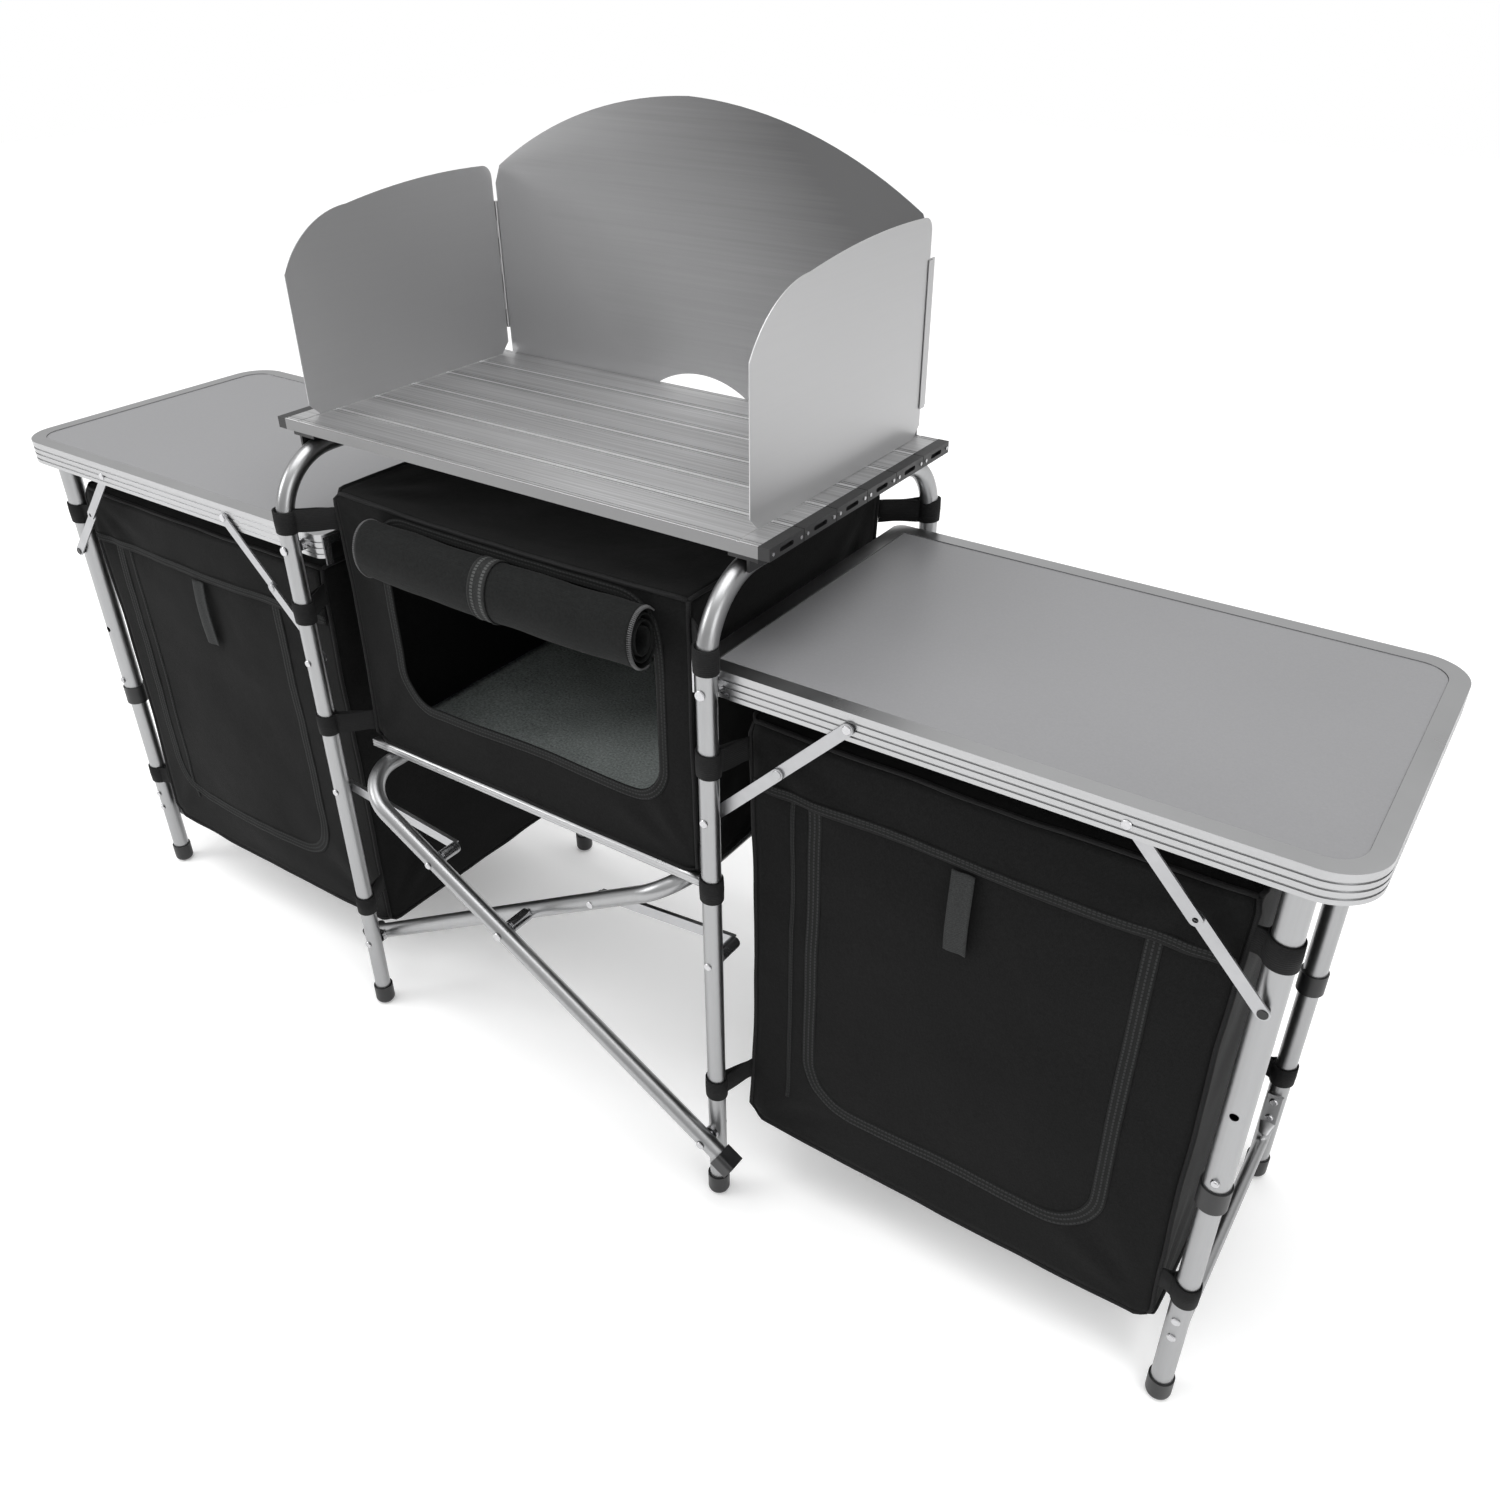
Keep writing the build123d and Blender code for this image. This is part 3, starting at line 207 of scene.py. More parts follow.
def make_plastic(name, color, roughness=0.42):
    """Moulded plastic with a fine spark-eroded grain and slight scuffs."""
    s = Shader(name, color, 0.0, roughness)
    speck = s.grain(900.0, 2.0, 0.6)
    cloud = s.grain(40.0, 4.0, 0.6)
    s.tint(cloud, 0.75, 1.35)
    s.rough(cloud, roughness - 0.07, roughness + 0.1)
    s.normal(s.bump(speck, 0.25, 0.0002))
    return s.mat


def make_board(name, color):
    """Grey laminate: a fine speckle under a satin surface."""
    s = Shader(name, color, 0.0, 0.38)
    speck = s.grain(420.0, 3.0, 0.7)
    cloud = s.grain(3.5, 3.0, 0.5)
    s.tint(s.blend((speck, 0.55), (cloud, 0.45)), 0.93, 1.07)
    s.rough(cloud, 0.33, 0.44)
    s.normal(s.bump(speck, 0.08, 0.0002))
    s.bsdf.inputs["Coat Weight"].default_value = 0.06
    s.bsdf.inputs["Coat Roughness"].default_value = 0.3
    return s.mat


DECK_HALF_W = 0.167
DECK_FRONT_Y = -0.1664          # what lies in front of this is the front slat's upright side, painted darker as shade
SLAT_PITCH = 2 * DECK_HALF_W / 6
PAINTED_HIGHLIGHT_FROM = 0.467          # these three are shares of the pitch from a slat's middle
GROOVES_AT = (0.44, 0.368)
GROOVE_REACH = 0.011


def make_deck(name, color):
    """Extruded slats: a painted highlight along each slat's edges, painted shade in the grooves
    and on the front slat's upright side, fine machined lines and drag marks along them.
    """
    s = Shader(name, color, 1.0, 0.4)
    line = s.grain(330.0, 3.0, 0.75, (0.006, 1.0, 1.0))
    drag = s.grain(60.0, 4.0, 0.7, (0.03, 1.0, 1.0))
    cloud = s.grain(7.0, 3.0, 0.5, (0.25, 1.0, 1.0))
    y = s.axes()["Y"]
    slat = s.math("FRACT", s.math("DIVIDE", s.math("ADD", y, DECK_HALF_W), SLAT_PITCH))
    share = s.math("ABSOLUTE", s.math("SUBTRACT", slat, 0.5))
    # Painted highlight: a bright line along each slat's edges.
    painted_edge_highlight = s.math("GREATER_THAN", share, PAINTED_HIGHLIGHT_FROM)
    # Painted shade: the front slat's upright side, in front of DECK_FRONT_Y, is painted much
    # darker.
    painted_front_shade = s.math("LESS_THAN", y, DECK_FRONT_Y)
    # Painted shade: the fine grooves on each slat are painted darker.
    painted_groove_shade = [(s.near(share, place, GROOVE_REACH), -0.11) for place in GROOVES_AT]
    shade = s.blend((line, 0.36), (cloud, 0.2), (drag, 0.16), (painted_edge_highlight, 0.9), *painted_groove_shade,
                    (painted_front_shade, -1.15))
    s.tint(s.math("ADD", shade, 0.11), 0.5, 1.9)
    s.rough(cloud, 0.36, 0.46)
    s.normal(s.bump(s.math("ADD", line, drag), 0.3, 0.0003))
    return s.mat


SHEET_MIDDLE_Z = 0.93


def make_sheet_metal(name, color, painted_shade_corner=0.0):
    """Thin windscreen sheet, brushed across; a nonzero last argument paints shade, darker towards
    the upper right.
    """
    s = Shader(name, color, 1.0, 0.42)
    line = s.grain(300.0, 3.0, 0.6, (0.012, 0.012, 1.0))
    cloud = s.grain(2.2, 2.0, 0.5)
    place = s.axes()
    # Painted shade: the base colour darkens along this slope towards the upper right.
    painted_shade_slope = s.math("ADD", s.math("MULTIPLY", place["X"], 1.15),
                   s.math("SUBTRACT", place["Z"], SHEET_MIDDLE_Z))
    shade = s.math("ADD", s.blend((line, 0.07), (cloud, 0.1), (painted_shade_slope, -painted_shade_corner)), 0.45)
    if painted_shade_corner:
        s.tint(shade, 0.4, 1.3)
    else:
        s.tint(shade, 0.9, 1.1)
    s.rough(cloud, 0.38, 0.48)
    wave = s.bump(s.grain(4.0, 1.0, 0.4), 0.12, 0.004)
    s.normal(s.bump(line, 0.05, 0.0001, wave))
    s.bsdf.inputs["Anisotropic"].default_value = 0.4
    return s.mat


looks = {
    "tube_aluminium": satin_metal("tube_aluminium", (0.34, 0.342, 0.346), (1, 1, 0.02), 0.33),
    "deck_aluminium": make_deck("deck_aluminium", (0.47, 0.47, 0.473)),
    "brushed_sheet": make_sheet_metal("brushed_sheet", (0.5, 0.5, 0.504)),
    # The windscreen's back is a darker copy of the brushed sheet, its darkness painted shade,
    # with more painted shade towards its upper right.
    "brushed_sheet_back": make_sheet_metal("brushed_sheet_back", (0.36, 0.36, 0.364), 0.8),
    "table_edge_aluminium": satin_metal("table_edge_aluminium", (0.42, 0.422, 0.426),
                                        (0.02, 0.02, 1), 0.3),
    "strut_aluminium": satin_metal("strut_aluminium", (0.4, 0.402, 0.41), (0.2, 1, 0.2),
                                   0.36, 0.3, 0.1),
    "steel_hardware": satin_metal("steel_hardware", (0.5, 0.5, 0.51), (1, 1, 1), 0.26,
                                  0.15, 0.12),
    "black_plastic": make_plastic("black_plastic", (0.008, 0.008, 0.0085)),
    "grey_board": make_board("grey_board", (0.2, 0.2, 0.206)),
    "black_fabric": make_fabric("black_fabric", (0.003, 0.0031, 0.0031)),
    "webbing": make_webbing("webbing", (0.0045, 0.0045, 0.0047)),
    "grey_tape": make_webbing("grey_tape", (0.02, 0.021, 0.021)),
}
floor_fabric = make_fabric("cabinet_floor_fabric", (0.36, 0.395, 0.385), 0.4, 0.85)
roll_fabric = make_fabric("rolled_door_fabric", (0.0055, 0.0059, 0.0058), 0.5, 0.8)


def stitched(name, color, thread, pitch, lanes=3):
    """Fabric strip with rows of machine stitches; U runs along it in metres."""
    s = Shader(name, color, 0.0, 0.85)
    speck = s.grain(620.0, 2.0, 0.6)
    place = s.axes("UV")
    dash = s.math("LESS_THAN", s.math("FRACT", s.math("MULTIPLY", place["X"], 1.0 / pitch)), 0.68)
    lane = s.math("FRACT", s.math("MULTIPLY", place["Y"], lanes))
    mark = s.math("MULTIPLY", dash, s.near(lane, 0.5, 0.16))
    base = s.tint(speck, 0.65, 1.45)
    mix = s.tree.nodes.new("ShaderNodeMix")
    mix.data_type = "RGBA"
    s.link(mark, mix.inputs["Factor"])
    s.link(base, mix.inputs[6])
    mix.inputs[7].default_value = (*thread, 1)
    s.link(mix.outputs[2], s.bsdf.inputs["Base Color"])
    soft = s.bump(s.grain(90.0, 2.0, 0.5), 0.3, 0.0012)
    s.normal(s.bump(s.math("ADD", speck, s.math("MULTIPLY", mark, 1.5)), 0.4, 0.0005, soft))
    s.bsdf.inputs["Specular IOR Level"].default_value = 0.25
    return s.mat


seam_look = stitched("stitched_seam", (0.0045, 0.0048, 0.0047), (0.022, 0.023, 0.023), 0.0042)
strap_look = stitched("roll_strap_tape", (0.013, 0.0135, 0.0133), (0.06, 0.062, 0.061), 0.0035, 2)
zip_look = make_plastic("zip_teeth", (0.06, 0.06, 0.061))

# Every CAD node takes the detailed look of its record slot, or else its own.
OWN_LOOKS = {
    "windscreen_back": looks["brushed_sheet_back"],
    "right_leg_collars_and_rivets": looks["black_plastic"],
    "left_leg_collars_and_rivets": looks["black_plastic"],
}
for subpart in frame["record"]["subparts"]:
    node = frame["nodes"][subpart["node"]]
    look = OWN_LOOKS.get(subpart["node"], looks[subpart["material_slot"]])
    if not node.data.materials:
        node.data.materials.append(look)
    for index in range(len(node.data.materials)):
        node.data.materials[index] = look


# ================================ mesh helpers ================================
def finish_mesh(name, verts, faces, look, uvs=None, smooth=True):
    """A named object from vertices and faces, with outward normals."""
    data = bpy.data.meshes.new(name)
    data.from_pydata([tuple(v) for v in verts], [], faces)
    if uvs is not None:
        layer = data.uv_layers.new(name="UVMap")
        for loop in data.loops:
            layer.data[loop.index].uv = uvs[loop.vertex_index]
    work = bmesh.new()
    work.from_mesh(data)
    bmesh.ops.recalc_face_normals(work, faces=work.faces)
    for face in work.faces:
        face.smooth = smooth
    work.to_mesh(data)
    work.free()
    data.materials.append(look)
    obj = bpy.data.objects.new(name, data)
    bpy.context.scene.collection.objects.link(obj)
    return obj


def quad_area(a, b, c, d):
    """The area of a four-sided patch, as two triangles."""
    return ((b - a).cross(c - a).length + (c - a).cross(d - a).length) / 2


class Cloth:
    """Gathers the panels, hems and strips of one sewn piece into one mesh."""

    def __init__(self):
        self.verts = []
        self.faces = []
        self.uvs = []
        self.area = 0.0

    def slab(self, rows, thickness, inward):
        """A closed panel from a grid of outer points; inward(i, j) is its inner direction."""
        ni, nj = len(rows), len(rows[0])
        start = len(self.verts)
        for layer in (0, 1):
            for i in range(ni):
                for j in range(nj):
                    p = rows[i][j]
                    self.verts.append(p + inward(i, j) * thickness * layer)
                    self.uvs.append((i / (ni - 1), j / (nj - 1)))

        def at(layer, i, j):
            return start + layer * ni * nj + i * nj + j

        for i in range(ni - 1):
            for j in range(nj - 1):
                self.faces.append((at(0, i, j), at(0, i + 1, j), at(0, i + 1, j + 1),
                                   at(0, i, j + 1)))
                self.faces.append((at(1, i, j), at(1, i, j + 1), at(1, i + 1, j + 1),
                                   at(1, i + 1, j)))
                self.area += quad_area(rows[i][j], rows[i + 1][j],
                                       rows[i + 1][j + 1], rows[i][j + 1])
        border = ([(i, 0) for i in range(ni)] + [(ni - 1, j) for j in range(1, nj)]
                  + [(i, nj - 1) for i in range(ni - 2, -1, -1)]
                  + [(0, j) for j in range(nj - 2, 0, -1)])
        for k, (i, j) in enumerate(border):
            m, n = border[(k + 1) % len(border)]
            self.faces.append((at(0, i, j), at(1, i, j), at(1, m, n), at(0, m, n)))

    def ring_slab(self, rows, thickness, direction):
        """A closed panel with a hole: rows run from the hole's rim out, each row closed."""
        nk, na = len(rows), len(rows[0])
        start = len(self.verts)
        for layer in (0, 1):
            for k in range(nk):
                for a in range(na):
                    self.verts.append(rows[k][a] + direction * thickness * layer)
                    self.uvs.append((a / na, k / (nk - 1)))

        def at(layer, k, a):
            return start + layer * nk * na + k * na + a % na

        for k in range(nk - 1):
            for a in range(na):
                self.faces.append((at(0, k, a), at(0, k + 1, a), at(0, k + 1, a + 1),
                                   at(0, k, a + 1)))
                self.faces.append((at(1, k, a), at(1, k, a + 1), at(1, k + 1, a + 1),
                                   at(1, k + 1, a)))
                b = (a + 1) % na
                self.area += quad_area(rows[k][a], rows[k + 1][a], rows[k + 1][b], rows[k][b])
        for a in range(na):
            self.faces.append((at(0, 0, a), at(0, 0, a + 1), at(1, 0, a + 1), at(1, 0, a)))
            last = nk - 1
            self.faces.append((at(0, last, a), at(1, last, a), at(1, last, a + 1),
                               at(0, last, a + 1)))

    def sweep(self, path, section, across, up, closed=False):
        """A strip: section points (offset across, height up) carried along a path."""
        n, m = len(path), len(section)
        start = len(self.verts)
        run = 0.0
        width = max(abs(s[0]) for s in section) * 2 or 1.0
        for i, p in enumerate(path):
            if i:
                run += (p - path[i - 1]).length
            for offset, height in section:
                self.verts.append(p + across(i) * offset + up(i) * height)
                self.uvs.append((run, offset / width + 0.5))
        last = n if closed else n - 1
        for i in range(last):
            j = (i + 1) % n
            for k in range(m):
                q = (k + 1) % m
                self.faces.append((start + i * m + k, start + j * m + k,
                                   start + j * m + q, start + i * m + q))
        if not closed:
            self.faces.append(tuple(start + k for k in range(m)))
            self.faces.append(tuple(start + (n - 1) * m + k for k in reversed(range(m))))

    def tube(self, path, radius, closed=False, sides=8):
        """A round cord or piping along a path."""
        count = len(path)

        def tangent(i):
            if closed:
                return (path[(i + 1) % count] - path[i - 1]).normalized()
            return (path[min(i + 1, count - 1)] - path[max(i - 1, 0)]).normalized()

        def side(i):
            t = tangent(i)
            pole = UP if abs(t.z) < 0.8 else REAR
            return t.cross(pole).normalized()

        ring = [(radius * math.cos(2 * math.pi * k / sides),
                 radius * math.sin(2 * math.pi * k / sides)) for k in range(sides)]
        self.sweep(path, ring, side, lambda i: tangent(i).cross(side(i)), closed)

    def made(self, name, look):
        return finish_mesh(name, self.verts, self.faces, look, self.uvs)


def ripple(p, seed, size):
    """Smooth wander between -1 and 1, repeatable."""
    return noise.noise(Vector((p.x / size + seed, p.y / size - seed * 0.7, p.z / size + 3.1)))


def rounded_loop(half_u, half_v, radius, count=200):
    """Points of a rounded rectangle by angle, as (u, v)."""
    points = []
    for k in range(count):
        a = 2 * math.pi * k / count
        du, dv = math.cos(a), math.sin(a)
        # March out along the ray until the rounded rectangle's rim.
        low, high = 0.0, math.hypot(half_u, half_v) + 0.01
        for _ in range(40):
            mid = (low + high) / 2
            qu = max(abs(du * mid) - (half_u - radius), 0.0)
            qv = max(abs(dv * mid) - (half_v - radius), 0.0)
            inside = (math.hypot(qu, qv) <= radius
                      if qu > 0 and qv > 0 else qu <= radius and qv <= radius)
            low, high = (mid, high) if inside else (low, mid)
        points.append((du * low, dv * low))
    return points


def spaced(points, step, closed=True):
    """The same line with points a set distance apart."""
    line = list(points) + ([points[0]] if closed else [])
    lengths = [0.0]
    for a, b in zip(line, line[1:]):
        lengths.append(lengths[-1] + (b - a).length)
    total = lengths[-1]
    count = max(8, round(total / step))
    out = []
    k = 0
    for i in range(count if closed else count + 1):
        want = total * i / count
        while k < len(lengths) - 2 and lengths[k + 1] < want:
            k += 1
        span = lengths[k + 1] - lengths[k] or 1e-9
        out.append(line[k].lerp(line[k + 1], (want - lengths[k]) / span))
    return out


# ================================ sewn boxes ================================
STEP = 0.009
DOORWAY_POINTS, DOORWAY_RINGS = 260, 12
TINY, FAR = 1e-9, 1e9
FABRIC_OUT = 0.0005             # how far seams lie proud of the cloth


class Face:
    """One side of a sewn box: a place, two directions across it and its outward normal."""

    def __init__(self, origin, across, up, out):
        self.origin, self.across, self.up, self.out = origin, across, up, out
        self.u = across.length
        self.v = up.length

    def at(self, s, t):
        return self.origin + self.across * s + self.up * t


def box_faces(low, high):
    """The six sides of a box from its corners."""
    x, y, z = Vector((1, 0, 0)), REAR, UP
    dx, dy, dz = (high[i] - low[i] for i in range(3))
    base = Vector(low)
    return {
        "front": Face(base, x * dx, z * dz, -y),
        "rear": Face(base + y * dy, x * dx, z * dz, y),
        "left": Face(base, y * dy, z * dz, -x),
        "right": Face(base + x * dx, y * dy, z * dz, x),
        "bottom": Face(base, x * dx, y * dy, -z),
        "top": Face(base + z * dz, x * dx, y * dy, z),
    }


def relief(face, s, t, seed, bulge, wave, folds):
    """How far the cloth stands out of its flat side at (s, t)."""
    reach = min(s * face.u, (1 - s) * face.u, t * face.v, (1 - t) * face.v)
    edge = min(1.0, reach / 0.05)
    edge = edge * edge * (3 - 2 * edge)
    p = face.at(s, t)
    h = bulge * 16 * s * (1 - s) * t * (1 - t)
    h += wave * edge * (ripple(p, seed, 0.16) + 0.4 * ripple(p, seed + 5, 0.06))
    # Tension folds fan out from the corners, where the straps pull.
    for cs, ct in ((0, 0), (1, 0), (0, 1), (1, 1)):
        du, dv = (s - cs) * face.u, (t - ct) * face.v
        away = math.hypot(du, dv)
        turn = math.atan2(abs(dv), abs(du) + 1e-6)
        fade = math.exp(-((away - 0.06) / 0.07) ** 2)
        h += folds * edge * fade * math.sin(turn * 11 + seed + cs * 2 + ct)
    return h


def doorway_panel(cloth, low, high, hole, thickness, lift):
    """The front panel with its doorway: rings of points from the doorway out to the edges."""
    (middle_x, middle_z), half_u, half_v, radius = hole
    middle = Vector((middle_x, low.y, middle_z))
    rim = rounded_loop(half_u, half_v, radius, DOORWAY_POINTS)
    rows = []
    for k in range(DOORWAY_RINGS + 1):
        row = []
        for u, v in rim:
            direction = Vector((u, 0, v))
            reach_u = ((high.x if u > 0 else low.x) - middle_x) / u if abs(u) > TINY else FAR
            reach_v = ((high.z if v > 0 else low.z) - middle_z) / v if abs(v) > TINY else FAR
            edge = middle + direction * min(reach_u, reach_v)
            p = (middle + direction).lerp(edge, k / DOORWAY_RINGS)
            row.append(p + FRONT * lift(p.x, p.z))
        rows.append(row)
    # The outer ring must reach the box's own corners.
    for x, z in ((low.x, low.z), (high.x, low.z), (high.x, high.z), (low.x, high.z)):
        corner = Vector((x, low.y, z))
        nearest = min(range(len(rim)), key=lambda a: (rows[-1][a] - corner).length)
        rows[-1][nearest] = corner
    cloth.ring_slab(rows, thickness, REAR)


def sewn_box(name, low, high, look, seed, bulges, wave=0.0022, folds=0.0012, hole=None,
             thickness=0.0016):
    """A sewn bag of six panels with bound edges; hole is the front's rounded doorway."""
    cloth = Cloth()
    faces = box_faces(low, high)
    front = faces["front"]
    for number, (side, face) in enumerate(faces.items()):
        if side == "front" and hole:
            continue
        ni = max(6, round(face.u / STEP))
        nj = max(6, round(face.v / STEP))
        rows = [[face.at(i / ni, j / nj) + face.out * relief(
            face, i / ni, j / nj, seed + number, bulges.get(side, 0.0), wave, folds)
            for j in range(nj + 1)] for i in range(ni + 1)]
        cloth.slab(rows, thickness, lambda i, j, f=face: -f.out)

    def front_lift(x, z):
        """How far the front panel stands out at x and z."""
        s = min(max((x - low.x) / front.u, 0), 1)
        t = min(max((z - low.z) / front.v, 0), 1)
        return relief(front, s, t, seed, bulges.get("front", 0.0), wave, folds)

    if hole:
        doorway_panel(cloth, low, high, hole, thickness, front_lift)

    def on_front(x, z, proud=0.0):
        """The point of the front panel's surface at x and z, plus a little."""
        return Vector((x, low.y - front_lift(x, z) - proud, z))

    return cloth.made(name, look), cloth.area, on_front


def edge_binding(name, low, high, seed, radius=0.0024):
    """Binding tape rolled over the twelve edges of a sewn box."""
    cloth = Cloth()
    corners = [Vector((x, y, z)) for x in (low.x, high.x) for y in (low.y, high.y)
               for z in (low.z, high.z)]
    for i, a in enumerate(corners):
        for b in corners[i + 1:]:
            if sum(abs(a[k] - b[k]) > 1e-6 for k in range(3)) != 1:
                continue
            line = spaced([a, b], 0.008, closed=False)
            wob = [p + Vector((ripple(p, seed, 0.05), ripple(p, seed + 2, 0.05),
                               ripple(p, seed + 4, 0.05))) * 0.0009 for p in line]
            cloth.tube(wob, radius)
    return cloth.made(name, looks["webbing"])


def seam_section(width, ridges=3, height=0.0011):
    """A raised tape with stitched ridges, as (offset across, height) round its section."""
    points = [(-width / 2, -0.001)]
    for r in range(ridges):
        low = -width / 2 + width * r / ridges
        step = width / ridges
        points += [(low + step * 0.12, height * 0.45), (low + step * 0.5, height),
                   (low + step * 0.88, height * 0.45)]
    points.append((width / 2, -0.001))
    return points


def seam_strip(name, points, out, width, closed, seed, ridges=3):
    """A stitched seam lying on a panel, with small puckers."""
    cloth = Cloth()
    path = spaced(points, 0.005, closed)
    count = len(path)
    path = [p + out * (0.0005 * ripple(p, seed, 0.018)) for p in path]

    def across(i):
        a = path[i - 1] if closed or i else path[i]
        b = path[(i + 1) % count] if closed or i < count - 1 else path[i]
        return (b - a).normalized().cross(out).normalized()

    cloth.sweep(path, seam_section(width, ridges), across, lambda i: out, closed)
    return cloth.made(name, seam_look)


CORNER_FROM = 0.94              # a bag's corners are soft over the last part of its half size
CORNER_IN = 0.004


def slump(pieces, low, high, seed, side_in, top_sag, low_sag, ruffle=0.0016):
    """Lets a whole bag hang: waisted sides, sagging edges, soft corners and small ruffles."""
    middle = (low + high) / 2
    half = (high - low) / 2
    for piece in pieces:
        for vertex in piece.data.vertices:
            p = vertex.co
            u, v, w = ((p[k] - middle[k]) / half[k] for k in range(3))
            u, v, w = (max(-1.0, min(1.0, value)) for value in (u, v, w))
            waist = side_in * (1 - w * w)
            sag = (top_sag if w > 0 else low_sag) * abs(w) ** 3 * (1 - u * u)
            corner = 1.0
            for value in (u, v, w):
                corner *= max(0.0, (abs(value) - CORNER_FROM) / (1 - CORNER_FROM))
            calm = min(1.0, (1 - u * u) * 6 + (1 - w * w) * 6)
            move = Vector((-u ** 3 * waist, -0.6 * v ** 3 * waist, -sag))
            move -= Vector((u, v, w)) * corner * CORNER_IN
            for k in range(3):
                move[k] += ruffle * calm * ripple(p, seed + 3.7 * k, 0.11)
            vertex.co = p + move
        piece.data.update()


# ---------------------------------- cabinet ----------------------------------
cab_low, cab_high = Vector((-0.2395, -0.1745, 0.4215)), Vector((0.2395, 0.172, 0.7345))
DOOR_MIDDLE = (0.012, 0.608)
DOOR_HALF_U, DOOR_HALF_V, DOOR_R = 0.185, 0.1115, 0.042
RIM_OUT = 0.004                 # the doorway's binding runs this far outside its rim
cabinet, cabinet_area, on_cabinet = sewn_box(
    "cabinet_cloth", cab_low, cab_high, looks["black_fabric"], 1.3,
    {"rear": 0.004, "left": -0.005, "right": -0.005, "top": -0.006, "bottom": 0.0},
    hole=(DOOR_MIDDLE, DOOR_HALF_U, DOOR_HALF_V, DOOR_R))
cabinet_binding = edge_binding("cabinet_edge_binding", cab_low, cab_high, 2.0)

door_rim = [on_cabinet(DOOR_MIDDLE[0] + u, DOOR_MIDDLE[1] + v, FABRIC_OUT)
            for u, v in rounded_loop(DOOR_HALF_U + RIM_OUT, DOOR_HALF_V + RIM_OUT,
                                     DOOR_R + RIM_OUT)]
doorway_seam = seam_strip("doorway_binding", door_rim, FRONT, 0.013, True, 4.0, 2)

# The floor mat, in lighter cloth, lies in the bottom of the cabinet.
MAT_L, MAT_W, MAT_Z = 0.468, 0.334, 0.4265
MAT_COUNT_L, MAT_COUNT_W = 40, 28
mat_face = Face(Vector((-MAT_L / 2, -0.168, MAT_Z)), Vector((MAT_L, 0, 0)), REAR * MAT_W, UP)
mat_rows = [[mat_face.at(i / MAT_COUNT_L, j / MAT_COUNT_W) + UP * relief(
    mat_face, i / MAT_COUNT_L, j / MAT_COUNT_W, 8.0, 0.002, 0.0012, 0.0)
    for j in range(MAT_COUNT_W + 1)] for i in range(MAT_COUNT_L + 1)]
mat = Cloth()
mat.slab(mat_rows, 0.003, lambda i, j: -UP)
cabinet_floor = mat.made("cabinet_floor_cloth", floor_fabric)

# The door, rolled up under the doorway's top edge: a spiral of cloth.
ROLL_MIDDLE = Vector((0.014, -0.1925, 0.6895))
ROLL_HALF_L = 0.184
ROLL_TALL = 1.42                # height over depth of the oval roll
ROLL_TURNS = 3.1
ROLL_START = math.radians(50)
ROLL_OUT, ROLL_IN = 0.0242, 0.0095
ROLL_SAG = 0.0025
ROLL_COUNT_L, ROLL_COUNT_TURN = 74, 96
STRAP_X = 0.006
STRAP_HALF_W = 0.0115


def on_roll(x, angle, proud):
    """A point of the roll's spiral at x and an angle from its start, plus a little."""
    share = angle / (2 * math.pi * ROLL_TURNS)
    r = ROLL_OUT + (ROLL_IN - ROLL_OUT) * share + proud
    turn = ROLL_START + angle
    sag = ROLL_SAG * (1 - ((x - ROLL_MIDDLE.x) / ROLL_HALF_L) ** 2)
    return Vector((x, ROLL_MIDDLE.y + math.cos(turn) * r,
                   ROLL_MIDDLE.z + math.sin(turn) * r * ROLL_TALL - sag))


def off_roll(point):
    """The direction from the roll's middle line out to a point."""
    return Vector((0, point.y - ROLL_MIDDLE.y, point.z - ROLL_MIDDLE.z)).normalized()


roll = Cloth()
roll_rows = []
for i in range(ROLL_COUNT_L + 1):
    x = ROLL_MIDDLE.x + ROLL_HALF_L * (2 * i / ROLL_COUNT_L - 1)
    pinch = math.exp(-((x - STRAP_X) / 0.016) ** 2)
    row = []
    for j in range(ROLL_COUNT_TURN + 1):
        share = j / ROLL_COUNT_TURN
        angle = 2 * math.pi * ROLL_TURNS * share
        turn = ROLL_START + angle
        wander = ripple(Vector((x, math.cos(turn) * 0.03, math.sin(turn) * 0.03)), 6.0, 0.045)
        row.append(on_roll(x, angle, 0.0012 * wander * (1 - pinch) * (1 - share)))
    roll_rows.append(row)
roll.slab(roll_rows, 0.0014, lambda i, j: -off_roll(roll_rows[i][j]))
rolled_door = roll.made("rolled_door_cloth", roll_fabric)

# The strap that holds the roll goes once round it from the doorway's top edge.
STRAP_HALF = [(STRAP_HALF_W, 0.0), (STRAP_HALF_W, 0.0011), (0.0095, 0.0015), (0.0085, 0.0009)]
STRAP_SECTION = STRAP_HALF + [(-across, up) for across, up in reversed(STRAP_HALF)]
strap = Cloth()
strap_path = [on_roll(STRAP_X, 2 * math.pi * k / 44, 0.0004) for k in range(42)]
strap.sweep(strap_path, STRAP_SECTION, lambda i: Vector((1, 0, 0)),
            lambda i: off_roll(strap_path[i]))
roll_strap = strap.made("roll_strap", strap_look)

# Zip teeth along the rolled door's edges, seen at both ends of the roll.
TEETH = 60
TOOTH_PITCH = math.radians(3.9)
teeth = Cloth()
for end in (-1, 1):
    for k in range(TEETH):
        base = on_roll(ROLL_MIDDLE.x + end * (ROLL_HALF_L - 0.0012), TOOTH_PITCH * k, 0.0)
        tip = on_roll(ROLL_MIDDLE.x + end * (ROLL_HALF_L + 0.0028), TOOTH_PITCH * k, -0.0012)
        teeth.tube([base, tip], 0.00085, sides=5)
roll_teeth = teeth.made("rolled_door_zip_teeth", zip_look)

